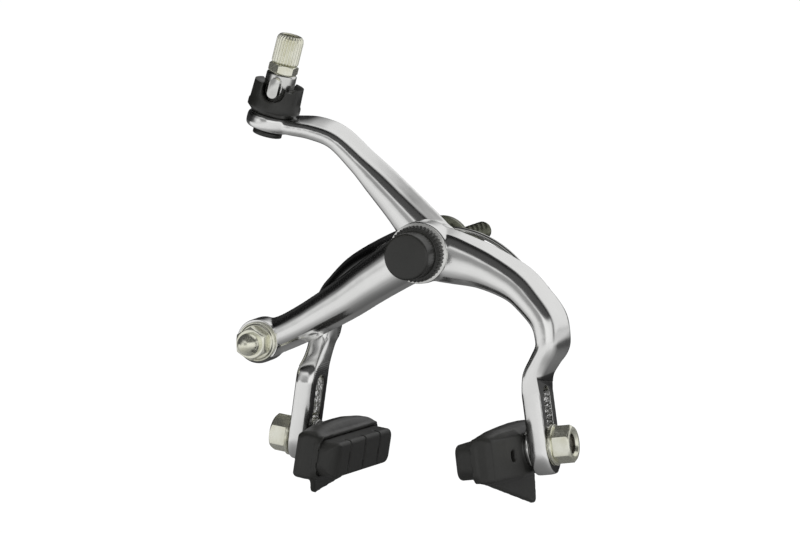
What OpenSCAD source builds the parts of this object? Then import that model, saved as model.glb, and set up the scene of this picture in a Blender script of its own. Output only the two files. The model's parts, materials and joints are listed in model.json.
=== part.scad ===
// Side-pull caliper brake for a bicycle fork.
// Origin: centre bolt axis at the face that meets the fork crown.
// +Y points to the rear, -Y to the front, +X to the right seen from the front, +Z up.

/* [Centre bolt and stack] */
// Diameter of the centre bolt
bolt_d = 6; // [5:0.1:8]
// Length of the centre bolt behind the mounting face
bolt_tail = 35.5; // [20:0.5:60]
// Diameter of the collar that carries the spring bracket
collar_d = 8.4; // [7.6:0.1:9]
// Thickness of the mounting washer
mount_washer_t = 1.2; // [0.8:0.1:3]
// Diameter of the mounting washer and the flange of the spring bracket
mount_washer_d = 17.8; // [16:0.1:22]
// Thickness of the flange of the spring bracket
flange_t = 1.2; // [0.8:0.1:2]
// Length of the hub of the spring bracket
hub_t = 2.4; // [2.2:0.1:3]
// Diameter of the hub of the spring bracket
hub_d = 13.4; // [12.8:0.1:15]
// Diameter of the spring wire
spring_d = 1.6; // [1.2:0.1:1.7]
// Radius of the bend of the right leg of the spring
right_leg_r = 31; // [28:0.5:34]
// Radius of the bend of the left leg of the spring
left_leg_r = 29; // [27:0.5:32]
// Thickness of each thin washer between the moving arms
pivot_washer_t = 0.5; // [0.3:0.1:1]
// Diameter of the thin pivot washers
pivot_washer_d = 14; // [11:0.5:15]
// Thickness of the bright washer under the pivot nut
front_washer_t = 0.6; // [0.4:0.1:1.2]
// Diameter of the bright washer under the pivot nut
front_washer_d = 18.4; // [17.6:0.1:19.6]
// Width across flats of the two pivot nuts
pivot_nut_af = 10; // [9:0.5:10.4]
// Thickness of each pivot nut
pivot_nut_t = 3.2; // [2.5:0.1:3.4]

/* [Centre cap] */
// Diameter of the smooth front part of the cap
cap_d = 14; // [13:0.1:15]
// Diameter over the knurled ring of the cap
cap_ring_d = 17; // [16:0.1:18]
// Depth of the knurled ring
cap_ring_t = 3; // [2:0.1:4]
// Whole depth of the cap
cap_depth = 10.2; // [9:0.1:12]
// Number of ridges on the knurled ring
cap_ridges = 44; // [30:1:60]

/* [Arms] */
// Depth of each arm at the pivot
arm_t = 8.4; // [7:0.1:10]
// Radius of the pivot boss of the front arm
boss_r = 9.4; // [9.2:0.1:11]
// Radius of the pivot boss of the rear arm
rear_boss_r = 7.9; // [7.8:0.1:9]
// Depth over which the front of an arm rounds off
front_round = 3.2; // [2:0.1:4]
// Sideways place of the cable anchor
anchor_x = -52.2; // [-58:0.1:-46]
// Height of the cable anchor
anchor_z = -29.4; // [-33:0.1:-26]
// Radius of the anchor boss
anchor_boss_r = 6.8; // [6.6:0.1:8]
// Diameter of the spring pegs on the arms
peg_d = 3; // [2.6:0.1:3.4]

/* [Slotted ends] */
// Drop from the centre bolt to the lowest place of the shoe studs
reach = 58.6; // [54:0.1:64]
// Sideways distance from the centre to each slotted end
end_x = 38.65; // [36:0.05:41]
// Outward lean of the slotted ends in degrees
end_lean = 8; // [5:0.5:10]
// Thickness of the slotted ends
end_t = 6; // [4.8:0.1:6.6]
// Width of the slotted ends, front to back
end_w = 14; // [13:0.1:16]
// Place of the shoe studs, front to back
stud_y = -18; // [-20:0.1:-16]
// Width of the slots
slot_w = 6.4; // [6.3:0.1:7.5]
// Height adjustment of the shoes in the slots
slot_travel = 16.8; // [10:0.1:18]

/* [Cable stop] */
// Sideways place of the foot of the cable stop
stop_x = -52.7; // [-56:0.1:-50]
// Height of the foot of the cable stop
stop_z = 33.3; // [30:0.1:37]
// Place of the cable stop, front to back
stop_y = -12; // [-14:0.1:-10]
// Lean of the cable stop to the right in degrees
stop_lean = 15; // [8:0.5:18]
// Radius of the round tab that carries the stop
tab_r = 7.3; // [6.8:0.1:8]
// Thickness of the tab
tab_t = 5; // [4:0.1:6]
// Outer diameter of the release cup
cup_d = 16.2; // [15:0.1:18]
// Height of the release cup
cup_h = 9.4; // [8:0.1:12]
// Thickness of the floor of the release cup
cup_floor = 2.3; // [1.5:0.1:3]
// Diameter of the cable seat
seat_d = 9.3; // [8.6:0.1:10.5]
// Height of the cable seat
seat_h = 10.5; // [9.5:0.1:13]
// Width of the cross lug of the seat
lug_w = 3.1; // [2:0.1:4]
// Height of the cross lug of the seat
lug_h = 6.2; // [4:0.1:6.6]
// Turn of the cross lug to the right in degrees
lug_turn = 8; // [0:1:20]
// Width across flats of the barrel's lock nut
lock_nut_af = 8; // [7.4:0.1:9]
// Thickness of the barrel's lock nut
lock_nut_t = 2.8; // [2:0.1:4]
// Diameter of the fluted barrel
barrel_d = 8.3; // [7.6:0.1:9]
// Length of the fluted barrel
barrel_len = 8.9; // [6:0.1:12]
// Thread diameter of the barrel
barrel_thread_d = 6; // [5:0.1:6.4]
// Number of flutes round the barrel
barrel_flutes = 24; // [16:1:36]
// Bore for the end of the cable housing
housing_d = 5.2; // [4.6:0.1:5.4]
// Bore for the inner cable
cable_d = 2.2; // [1.6:0.1:3]

/* [Cable anchor] */
// Thread diameter of the anchor bolt
anchor_bolt_d = 5; // [4.5:0.1:6]
// Width across flats of the anchor nut
anchor_af = 9; // [8:0.1:10]
// Height of the hexagon of the anchor nut
anchor_hex_h = 4.6; // [3:0.1:6]
// Diameter of the domed end of the anchor nut
anchor_dome_d = 7; // [6.4:0.1:7.8]
// Diameter of the anchor washer
anchor_washer_d = 12; // [11:0.1:12.6]
// Thickness of the anchor washer
anchor_washer_t = 1.6; // [1:0.1:2.4]

/* [Brake shoes] */
// Height of the left stud above the bottom of its slot
left_stud_up = 0; // [0:0.1:8]
// Height of the right stud above the bottom of its slot
right_stud_up = 1.8; // [0:0.1:8]
// Length of the shoes
shoe_len = 50; // [44:0.5:56]
// Height of the rubber pads
pad_h = 10.8; // [9:0.1:12]
// Thickness of the rubber that stands out of the holder
pad_t = 6.2; // [4:0.1:8]
// Depth of the shoe from the arm to the braking face
shoe_depth = 17; // [15:0.1:20]
// Height of the shoe holders at the lip
holder_h = 13.4; // [12.6:0.1:15]
// Height of the crown on top of the holders
holder_crown = 2.4; // [0:0.1:4]
// How far the middle of the shoe lies below the stud
shoe_drop = 1.2; // [0:0.1:2.5]
// Depth of the guide fin of the left shoe
left_fin_drop = 4.4; // [3:0.1:11]
// Depth of the guide fin of the right shoe
right_fin_drop = 10.6; // [3:0.1:11]
// Tilt of the shoes about their studs in degrees
shoe_pitch = 2.8; // [0:0.1:6]
// Diameter of the shoe studs
stud_d = 6; // [5:0.1:6]
// Width across flats of the shoe nuts
shoe_nut_af = 10; // [9:0.5:11]
// Thickness of the shoe nuts
shoe_nut_t = 5.5; // [4:0.1:7]
// Diameter of the shoe washers
shoe_washer_d = 12.4; // [11:0.1:13.6]

/* [Hidden] */
$fn = 64;

// Clearances
run_gap = 0.03;     // radial gap of a shaft that turns in its bore
loose_gap = 0.15;   // radial gap of parts that only pass through
cut = 1;            // how far a cutting body runs past a face
eps = 0.01;

// Stations along the bolt, from the mounting face forwards
bracket_y = -mount_washer_t;
flange_y = bracket_y - flange_t;
rear_washer_y = flange_y - hub_t;
rear_arm_back = rear_washer_y - pivot_washer_t;
rear_arm_front = rear_arm_back - arm_t;
front_arm_back = rear_arm_front - pivot_washer_t;
front_arm_front = front_arm_back - arm_t;
nut_y = front_arm_front - front_washer_t;
lock_nut_y = nut_y - pivot_nut_t;
nut_gap = 0.1;
bolt_tip = lock_nut_y - pivot_nut_t - nut_gap - 0.6;

// The forged bars lie this much inside the turned faces of the bosses
relief = 0.15;

// Slotted ends: front and back planes
end_front = stud_y - end_w / 2;
end_back = stud_y + end_w / 2;

// Colours
polished = [0.80, 0.80, 0.79];
zinc = [0.70, 0.69, 0.58];
olive = [0.38, 0.36, 0.22];
plastic = [0.10, 0.10, 0.10];
rubber = [0.14, 0.14, 0.13];
steel = [0.55, 0.55, 0.55];

// General curve and loft functions

// Point on a smooth curve between b and c, with a and d as the neighbours
function curve(a, b, c, d, t) =
    0.5 * (2 * b + (c - a) * t + (2 * a - 5 * b + 4 * c - d) * t * t + (3 * b - a - 3 * c + d) * t * t * t);

// Rows of a station list, with steps rows between each two stations
function smooth_rows(rows, steps) = let (last = len(rows) - 1) [
    for (i = [0 : last - 1], j = [0 : steps - 1])
        curve(rows[max(i - 1, 0)], rows[i], rows[i + 1], rows[min(i + 2, last)], j / steps),
    rows[last]
];

function unit(v) = v / norm(v);
function signed_power(v, e) = sign(v) * pow(abs(v), e);

// Section of a forged arm. A row holds: x, z, width, front, back,
// draft of the outer side, draft of the inner side, depth of the front rounding, back corner radius.
section_squareness = 0.72;
front_points = 12;
function arm_section(row) =
    let (
        half = row[2] / 2,
        mid = (row[6] - row[5]) / 2,
        reach_p = (row[2] - row[5] - row[6]) / 2,
        r = row[8]
    ) concat(
        [for (i = [0 : front_points]) let (a = 180 * i / front_points)
            [mid + reach_p * signed_power(cos(a), section_squareness),
             row[3] + row[7] - row[7] * pow(max(sin(a), 0), section_squareness)]],
        [for (a = [180 : -45 : 90]) [-half + r + r * cos(a), row[4] - r + r * sin(a)]],
        [for (a = [90 : -45 : 0]) [half - r + r * cos(a), row[4] - r + r * sin(a)]]
    );

// Closed skin over a list of rings with equal counts of points
module skin(rings) {
    n = len(rings[0]);
    last = len(rings) - 1;
    sides = [for (i = [0 : last - 1], j = [0 : n - 1])
        let (a = i * n + j, b = i * n + (j + 1) % n, c = a + n, d = b + n) each [[a, c, b], [b, c, d]]];
    caps = [[for (j = [0 : n - 1]) j], [for (j = [n - 1 : -1 : 0]) last * n + j]];
    polyhedron(points = [for (ring = rings) each ring], faces = concat(sides, caps), convexity = 6);
}

// Forged arm carried along the rows: the outer side lies to the left of the path
module forging(rows) {
    last = len(rows) - 1;
    skin([for (i = [0 : last])
        let (
            ahead = rows[min(i + 1, last)],
            behind = rows[max(i - 1, 0)],
            d = unit([ahead[0] - behind[0], ahead[1] - behind[1]])
        )
        [for (s = arm_section(rows[i])) [rows[i][0] - s[0] * d[1], s[1], rows[i][1] + s[0] * d[0]]]
    ]);
}

// Straight cylinder along +Y from y0 to y1
module bar_y(r, y0, y1, x = 0, z = 0) {
    translate([x, max(y0, y1), z]) rotate([90, 0, 0]) cylinder(r = r, h = abs(y1 - y0));
}

// Round boss along Y with a rounded front edge
module boss_y(r, front, back, x, z, edge) {
    translate([x, back, z]) rotate([90, 0, 0]) rotate_extrude() {
        square([r, back - front - edge]);
        square([r - edge, back - front]);
        translate([r - edge, back - front - edge]) circle(r = edge, $fn = 32);
    }
}

// Hexagon with chamfered corners on its top face, along +Z
module hex_nut(af, h, bore_r, both = false) {
    corner = af / 2 / cos(30);
    fall = (corner - af / 2) * 0.75;
    difference() {
        intersection() {
            cylinder(r = corner, h = h, $fn = 6);
            union() {
                cylinder(r = corner + eps, h = h - fall);
                translate([0, 0, h - fall]) cylinder(r1 = corner + eps, r2 = af / 2 - 0.1, h = fall);
            }
            if (both)
                union() {
                    translate([0, 0, fall]) cylinder(r = corner + eps, h = h - fall);
                    cylinder(r1 = af / 2 - 0.1, r2 = corner + eps, h = fall);
                }
        }
        if (bore_r > 0)
            translate([0, 0, -cut]) cylinder(r = bore_r, h = h + 2 * cut);
    }
}

// Outline of a fluted or knurled ring
function ridged_outline(r, depth, count) = [
    for (i = [0 : 2 * count - 1])
        let (a = 180 * i / count, rr = i % 2 == 0 ? r : r - depth) [rr * cos(a), rr * sin(a)]
];

// Washer along +Y, its front face at y
module washer_y(d, t, y, bore_d) {
    difference() {
        bar_y(d / 2, y, y + t);
        bar_y(bore_d / 2, y - cut, y + t + cut);
    }
}

// Slotted ends and shoes share one frame: x outwards through the slot, z up along the slot
module at_slot(side, up = 0) {
    translate([side * end_x, stud_y, -reach])
        rotate([0, -end_lean * side, 0])
            translate([0, 0, up])
                rotate([0, 0, side > 0 ? 0 : 180])
                    children();
}

// Point in the XZ plane given by its distance up the slot and its distance outwards
function end_point(side, up, out) = [
    side * (end_x - up * sin(end_lean) + out * cos(end_lean)),
    -reach + up * cos(end_lean) + out * sin(end_lean)
];

row_steps = 3;    // rows between two stations of an arm
end_run = 1.6;    // the straight end runs this far above the middle of the slot's top
tip_step = 13;    // degrees between two rows of the round tip

// Rows for the straight slotted end: the row where it begins, and those of its round tip
function end_row(side, up, half) = concat(
    end_point(side, up, 0),
    [end_t, stud_y - half, stud_y + half, 0, 0, min(2, half), min(1.2, half * 0.6)]
);
function end_top(side) = end_row(side, slot_travel + end_run, end_w / 2);
function tip_rows(side) = [
    for (a = [0 : tip_step : 6 * tip_step]) end_row(side, -end_w / 2 * sin(a), end_w / 2 * cos(a))
];

// Slot cut through an end
module slot_cut(side) {
    at_slot(side)
        translate([-end_t, 0, 0]) rotate([90, 0, 90]) linear_extrude(2 * end_t) {
            circle(d = slot_w);
            translate([-slot_w / 2, 0]) square([slot_w, slot_travel]);
            translate([0, slot_travel]) circle(d = slot_w);
        }
}

// Milled flat under the outer washers, ended above the slot by a slanted ledge
seat_room = 1.4;   // metal between the slot and the ledge
seat_slant = 11;   // fall of the ledge from front to back, in degrees
module seat_cut(side) {
    at_slot(side)
        translate([end_t / 2, 0, slot_travel + slot_w / 2 + seat_room])
            rotate([-side * seat_slant, 0, 0])
                translate([0, -end_w, -reach]) cube([end_t, 2 * end_w, reach]);
}

// Front arm
anchor_len = norm([anchor_x, anchor_z]);
anchor_dir = [anchor_x, anchor_z] / anchor_len;
function bar_point(share, sag) = [
    share * anchor_x + sag * anchor_dir[1],
    share * anchor_z - sag * anchor_dir[0]
];
function bar_row(share, sag, w) = concat(
    bar_point(share, -sag), [w, front_at(0), back_at(0), 1.2, 1.2, front_round, 0.8]
);
front_shoulder = end_point(1, 33.95, 6.5);
function arc_row(fx, fz, w, front, back) = concat(
    [fx * front_shoulder[0], fz * front_shoulder[1]], [w, front, back, 1.2, 0.8, front_round, 0.8]
);
function blend(a, b, t) = a + (b - a) * t;
function front_at(t) = blend(front_arm_front + relief, end_front, t);
function back_at(t) = blend(front_arm_back - relief, end_back, t);
front_rows = concat(
    smooth_rows([
        bar_row(1, 0, 12),
        bar_row(0.9, 1.2, 11),
        bar_row(0.78, 1.6, 11.4),
        bar_row(0.64, 1.5, 12.2),
        bar_row(0.49, 1.1, 13.2),
        bar_row(0.36, 0.35, 14),
        bar_row(0.235, -0.15, 14.7),
        bar_row(0.1, -0.5, 15.8),
        concat([0.6, -0.2], [16.8, front_at(0), back_at(0), 1.2, 1.2, front_round, 0.8]),
        arc_row(0.14, 0.045, 16.9, front_at(0), back_at(0)),
        arc_row(0.256, 0.085, 16.1, front_at(0), back_at(0)),
        arc_row(0.483, 0.183, 13.5, front_at(0.15), back_at(0.25)),
        arc_row(0.718, 0.358, 11.5, front_at(0.4), back_at(0.6)),
        arc_row(0.853, 0.552, 10.4, front_at(0.6), back_at(0.85)),
        arc_row(0.966, 0.779, 9.8, front_at(0.8), back_at(1)),
        arc_row(1, 1, 9, front_at(0.95), back_at(1)),
        concat(end_point(1, 30.8, 5.8), [8.2, end_front, end_back, 1, 0.6, front_round, 0.8]),
        concat(end_point(1, 27.4, 3.4), [7.1, end_front, end_back, 0.6, 0.4, 2.8, 0.9]),
        concat(end_point(1, 23.3, 1), [end_t + 0.2, end_front, end_back, 0, 0, 2.2, 1.1]),
        end_top(1)
    ], row_steps),
    tip_rows(1)
);

spot_r = anchor_boss_r + 0.35;
spot_depth = 0.8;
spring_y = flange_y - spring_d / 2 - 0.1;
spring_z = collar_d / 2 + spring_d / 2 + 0.3;
leg_angle = 70;
peg_angle = 66;
leg_start = 3;
function leg_r(side) = side > 0 ? right_leg_r : left_leg_r;
function leg_point(side, a, out = 0) = [
    side * (leg_start + (leg_r(side) + out) * sin(a)),
    spring_z - leg_r(side) + (leg_r(side) + out) * cos(a)
];
module spring_peg(side, from) {
    place = leg_point(side, peg_angle, spring_d / 2 + peg_d / 2 + loose_gap);
    bar_y(peg_d / 2, from, spring_y + spring_d / 2, place[0], place[1]);
}

module front_arm() {
    color(polished) difference() {
        union() {
            forging(front_rows);
            boss_y(boss_r, front_arm_front, front_arm_back, 0, 0, 1.4);
            bar_y(anchor_boss_r, front_arm_front, front_arm_back, anchor_x, anchor_z);
            spring_peg(1, front_arm_back - cut);
        }
        bar_y(bolt_d / 2 + run_gap, front_arm_front - cut, front_arm_back + cut);
        bar_y(anchor_bolt_d / 2 + loose_gap, front_arm_front - cut, front_arm_back + cut, anchor_x, anchor_z);
        bar_y(spot_r, front_arm_front - cut, front_arm_front + spot_depth, anchor_x, anchor_z);
        slot_cut(1);
        seat_cut(1);
    }
}

// Rear arm
tab_foot = 1.2;   // height of the underside of the tab above the foot of the stop
module at_stop(up = 0) {
    translate([stop_x, stop_y, stop_z]) rotate([0, stop_lean, 0]) translate([0, 0, up]) children();
}
tab_mid = tab_foot + tab_t / 2;
tab_centre = [stop_x + tab_mid * sin(stop_lean), stop_z + tab_mid * cos(stop_lean)];
function lever_row(fx, fz, w, front, back, outer, inner, round) = concat(
    [fx * tab_centre[0], fz * tab_centre[1]], [w, front, back, outer, inner, round, 0.8]
);
tab_front = stop_y - tab_r;
tab_back = stop_y + tab_r;
function lever_front(t) = blend(rear_arm_front + relief, tab_front, t);
function lever_back(t) = blend(rear_arm_back - relief, tab_back, t);
lever_rows = smooth_rows([
    lever_row(1, 1, tab_t - 0.4, lever_front(0.6), lever_back(0.6), 0.4, 0.4, 2),
    lever_row(0.93, 0.975, tab_t, lever_front(0.6), lever_back(0.6), 0.5, 0.4, 2),
    lever_row(0.865, 0.958, 6, lever_front(0.5), lever_back(0.5), 0.8, 0.6, 2.4),
    lever_row(0.737, 0.936, 7.4, lever_front(0.25), lever_back(0.25), 1.6, 0.7, 3),
    lever_row(0.6, 0.862, 8, lever_front(0.08), lever_back(0.08), 1.7, 0.8, front_round),
    lever_row(0.455, 0.678, 8.8, lever_front(0), lever_back(0), 1.6, 0.8, front_round),
    lever_row(0.344, 0.526, 10.4, lever_front(0), lever_back(0), 1.8, 0.8, front_round),
    lever_row(0.193, 0.306, 12.4, lever_front(0), lever_back(0), 2, 1, front_round),
    lever_row(0.06, 0.09, 15, lever_front(0), lever_back(0), 2, 1.4, front_round),
    lever_row(-0.02, -0.04, 15.4, lever_front(0), lever_back(0), 2, 1.4, front_round)
], row_steps);
rear_shoulder = end_point(-1, 35.1, 1.6);
function leg_row(fx, fz, w) = concat(
    [fx * rear_shoulder[0], fz * rear_shoulder[1]],
    [w, leg_front(0), leg_back(0), 1.4, 0.8, front_round, 0.8]
);
function leg_front(t) = blend(rear_arm_front + relief, end_front, t);
function leg_back(t) = blend(rear_arm_back - relief, end_back, t);
function flip(rows) = [for (i = [len(rows) - 1 : -1 : 0]) rows[i]];
leg_rows = concat(
    flip(tip_rows(-1)),
    smooth_rows([
        end_top(-1),
        concat(end_point(-1, 22.2, 0.3), [end_t + 0.3, leg_front(0.93), leg_back(0.9), 0, 0, 2.2, 1.1]),
        concat(end_point(-1, 25.4, 0.8), [7.2, leg_front(0.5), leg_back(0.6), 0.6, 0.4, 2.4, 0.9]),
        concat(end_point(-1, 28.2, 1.4), [8.3, leg_front(0.12), leg_back(0.25), 1, 0.6, 2.8, 0.8]),
        concat(end_point(-1, 31.1, 1.6), [9.4, leg_front(0), leg_back(0), 1.2, 0.8, front_round, 0.8]),
        leg_row(1, 1, 10),
        leg_row(0.955, 0.757, 10.2),
        leg_row(0.871, 0.6, 10.6),
        leg_row(0.702, 0.37, 11.4),
        leg_row(0.444, 0.17, 12.9),
        leg_row(0.2, 0.05, 15),
        leg_row(0, 0, 15.4)
    ], row_steps)
);
tab_edge = 1.8;
neck_r = 3.3;

module rear_arm() {
    color(polished) difference() {
        union() {
            forging(lever_rows);
            forging(leg_rows);
            boss_y(rear_boss_r, rear_arm_front, rear_arm_back, 0, 0, 1);
            at_stop(tab_foot) rotate_extrude() {
                square([tab_r - tab_edge, tab_t]);
                translate([0, tab_edge]) square([tab_r, tab_t - 2 * tab_edge]);
                for (z = [tab_edge, tab_t - tab_edge])
                    translate([tab_r - tab_edge, z]) circle(r = tab_edge, $fn = 32);
            }
            spring_peg(-1, rear_arm_back - cut);
        }
        bar_y(bolt_d / 2 + run_gap, rear_arm_front - cut, rear_arm_back + cut);
        at_stop(tab_foot - 2 * cut) cylinder(r = neck_r + loose_gap / 2, h = tab_t + 4 * cut);
        at_stop(tab_foot + tab_t) cylinder(r = tab_r + cut, h = tab_t);
        slot_cut(-1);
        seat_cut(-1);
    }
}

// Centre bolt and the parts on it
bolt_chamfer = 1;
module centre_bolt() {
    color(olive) {
        translate([0, bolt_tip + bolt_chamfer, 0]) rotate([-90, 0, 0])
            cylinder(d = bolt_d, h = bolt_tail - bolt_tip - 2 * bolt_chamfer);
        translate([0, bolt_tip, 0]) rotate([-90, 0, 0])
            cylinder(d1 = bolt_d - 2 * bolt_chamfer, d2 = bolt_d, h = bolt_chamfer);
        translate([0, bolt_tail - bolt_chamfer, 0]) rotate([-90, 0, 0])
            cylinder(d1 = bolt_d, d2 = bolt_d - 2 * bolt_chamfer, h = bolt_chamfer);
        bar_y(collar_d / 2, rear_washer_y, 0);
    }
}

module mounting_washer() {
    color(olive) washer_y(mount_washer_d, mount_washer_t, bracket_y, collar_d + 2 * loose_gap);
}

wire_room = 0.1;
module spring_bracket() {
    color(olive) difference() {
        union() {
            bar_y(mount_washer_d / 2, flange_y, bracket_y);
            bar_y(hub_d / 2, rear_washer_y, bracket_y);
        }
        bar_y(collar_d / 2 + run_gap, rear_washer_y - cut, bracket_y + cut);
        translate([-hub_d, rear_washer_y - cut, spring_z - spring_d / 2 - wire_room])
            cube([2 * hub_d, flange_y - rear_washer_y + cut, spring_d + 2 * wire_room]);
    }
}

// Round wire carried along a list of points in a plane at y
module wire(path, r, y) {
    last = len(path) - 1;
    skin([for (i = [0 : last])
        let (d = unit(path[min(i + 1, last)] - path[max(i - 1, 0)]))
        [for (a = [0 : 30 : 330])
            let (c = r * cos(a)) [path[i][0] - c * d[1], y - r * sin(a), path[i][1] + c * d[0]]]
    ]);
}

leg_steps = 10;
spring_path = concat(
    [for (i = [leg_steps : -1 : 0]) leg_point(-1, leg_angle * i / leg_steps)],
    [for (i = [0 : leg_steps]) leg_point(1, leg_angle * i / leg_steps)]
);
module return_spring() {
    color(steel) wire(spring_path, spring_d / 2, spring_y);
}

module rear_pivot_washer() {
    color(steel) washer_y(pivot_washer_d, pivot_washer_t, rear_arm_back, bolt_d + 2 * loose_gap);
}

module middle_pivot_washer() {
    color(steel) washer_y(pivot_washer_d, pivot_washer_t, front_arm_back, bolt_d + 2 * loose_gap);
}

module front_pivot_washer() {
    color(polished) washer_y(front_washer_d, front_washer_t, nut_y, bolt_d + 2 * loose_gap);
}

module pivot_nut() {
    color(zinc) translate([0, nut_y, 0]) rotate([90, 0, 0])
        hex_nut(pivot_nut_af, pivot_nut_t, bolt_d / 2 + run_gap, both = true);
}

module pivot_lock_nut() {
    color(zinc) translate([0, lock_nut_y - nut_gap, 0]) rotate([90, 0, 0])
        hex_nut(pivot_nut_af, pivot_nut_t - nut_gap, bolt_d / 2 + run_gap, both = true);
}

knurl_depth = 0.45;
cap_edge = 0.9;
module centre_cap() {
    wall_bore = pivot_nut_af / 2 / cos(30) + run_gap;
    room = nut_y - bolt_tip + 0.3;
    color(plastic) translate([0, nut_y, 0]) rotate([90, 0, 0]) difference() {
        union() {
            linear_extrude(cap_ring_t) polygon(ridged_outline(cap_ring_d / 2, knurl_depth, cap_ridges));
            rotate_extrude() {
                square([cap_d / 2, cap_depth - cap_edge]);
                square([cap_d / 2 - cap_edge, cap_depth]);
                translate([cap_d / 2 - cap_edge, cap_depth - cap_edge]) circle(r = cap_edge, $fn = 32);
            }
        }
        translate([0, 0, -cut]) cylinder(r = wall_bore, h = room + cut);
    }
}

// Cable anchor
anchor_seat = front_arm_front + spot_depth;
anchor_nut_y = anchor_seat - anchor_washer_t;
head_t = 3.2;
head_d = 9.6;
cable_gap = 0.2;
module anchor_bolt() {
    shank_front = anchor_nut_y - anchor_hex_h - anchor_dome_d / 4;
    color(zinc) difference() {
        union() {
            bar_y(anchor_bolt_d / 2, shank_front, front_arm_back, anchor_x, anchor_z);
            translate([anchor_x, front_arm_back + head_t, anchor_z]) rotate([90, 0, 0]) intersection() {
                cylinder(d = head_d, h = head_t);
                translate([-head_d, -head_d * 0.42, 0]) cube([2 * head_d, head_d * 0.84, head_t]);
            }
        }
        translate([anchor_x, front_arm_back + head_t / 2, anchor_z - head_d])
            cylinder(d = cable_d + cable_gap, h = 2 * head_d);
    }
}

module anchor_washer() {
    color(zinc) translate([anchor_x, anchor_seat, anchor_z]) rotate([90, 0, 0]) difference() {
        union() {
            cylinder(d = anchor_washer_d, h = anchor_washer_t * 0.6);
            cylinder(d1 = anchor_washer_d, d2 = anchor_washer_d - 1.6, h = anchor_washer_t);
        }
        translate([0, 0, -cut]) cylinder(r = anchor_bolt_d / 2 + loose_gap, h = anchor_washer_t + 2 * cut);
    }
}

module anchor_nut() {
    dome_r = anchor_dome_d / 2;
    neck = anchor_hex_h + 1;
    depth = anchor_hex_h + anchor_dome_d / 4 + 0.3;
    color(zinc) translate([anchor_x, anchor_nut_y, anchor_z]) rotate([90, 0, 0]) difference() {
        union() {
            hex_nut(anchor_af, anchor_hex_h, 0);
            rotate_extrude() intersection() {
                union() {
                    square([dome_r, neck]);
                    translate([0, neck]) circle(r = dome_r);
                }
                square([dome_r + cut, neck + anchor_dome_d]);
            }
        }
        translate([0, 0, -cut]) cylinder(r = anchor_bolt_d / 2 + run_gap, h = depth + cut);
    }
}

// Cable stop, heights above its foot
cup_base = tab_foot + tab_t;
cup_top = cup_base + cup_h;
seat_base = cup_base + cup_floor;
seat_top = seat_base + seat_h;
barrel_base = seat_top + lock_nut_t + 0.1;
lug_base = seat_base + 3.4;
lug_reach = 7.6;
notch_w = lug_w + 4.4;
notch_floor = lug_base - 1.6;
cup_bore = seat_d / 2 + loose_gap;
cup_foot = 1.6;    // height of the slanted foot of the cup
rim_fall = 2;      // fall of the cone that the rim lies on, down to the axis
dent_angle = 42;
dent_depth = 1.1;
dent_w = 1.6;

module release_cup() {
    color(plastic) at_stop() difference() {
        rotate_extrude() {
            translate([0, tab_foot]) square([neck_r, cup_base - tab_foot + eps]);
            polygon([
                [0, cup_base], [cup_d / 2 - cup_foot, cup_base], [cup_d / 2, cup_base + cup_foot],
                [cup_d / 2, cup_base + 2 * cup_foot], [cup_d / 2 - 0.3, cup_base + 2.4 * cup_foot],
                [cup_d / 2 - 0.5, cup_top], [0, cup_top - rim_fall]
            ]);
        }
        translate([0, 0, seat_base]) cylinder(r = cup_bore, h = cup_h);
        cylinder(d = cable_d + 0.8, h = cup_top);
        for (turn = [lug_turn, lug_turn + 180]) rotate([0, 0, turn]) {
            translate([0, 0, notch_floor + notch_w / 2]) rotate([90, 0, 0]) linear_extrude(cup_d) {
                circle(d = notch_w);
                translate([-notch_w / 2, 0]) square([notch_w, cup_h]);
            }
            rotate([0, 0, dent_angle]) translate([0, 0, cup_top]) rotate([90, 0, 0]) linear_extrude(cup_d)
                polygon([
                    [-dent_w / 2, -dent_depth], [dent_w / 2, -dent_depth],
                    [dent_w / 2 + 2 * dent_depth, dent_depth], [-dent_w / 2 - 2 * dent_depth, dent_depth]
                ]);
        }
    }
}

ring_t = 1.9;
ring_d = 9;
module retaining_ring() {
    color(plastic) at_stop(tab_foot - ring_t) difference() {
        union() {
            cylinder(d = ring_d, h = ring_t - 0.5);
            cylinder(d = ring_d - 1, h = ring_t);
        }
        translate([0, 0, -cut]) cylinder(d = cable_d + 0.8, h = ring_t + 2 * cut);
    }
}

module cable_seat() {
    thread_room = seat_h - 2.2;
    color(polished) at_stop(seat_base) difference() {
        union() {
            rotate_extrude() {
                square([seat_d / 2, seat_h - 0.7]);
                square([seat_d / 2 - 0.7, seat_h]);
                translate([seat_d / 2 - 0.7, seat_h - 0.7]) circle(r = 0.7, $fn = 32);
            }
            for (turn = [lug_turn, lug_turn + 180])
                rotate([0, 0, turn]) translate([0, 0, lug_base - seat_base + lug_w / 2]) rotate([90, 0, 0])
                    linear_extrude(lug_reach) {
                        circle(d = lug_w);
                        translate([0, lug_h - lug_w]) circle(d = lug_w);
                        translate([-lug_w / 2, 0]) square([lug_w, lug_h - lug_w]);
                    }
        }
        translate([0, 0, seat_h - thread_room]) cylinder(r = barrel_thread_d / 2 + run_gap, h = seat_h);
        translate([0, 0, -cut]) cylinder(d = cable_d, h = seat_h + cut);
    }
}

module barrel_lock_nut() {
    color(zinc) at_stop(seat_top)
        hex_nut(lock_nut_af, lock_nut_t, barrel_thread_d / 2 + run_gap, both = true);
}

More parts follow.
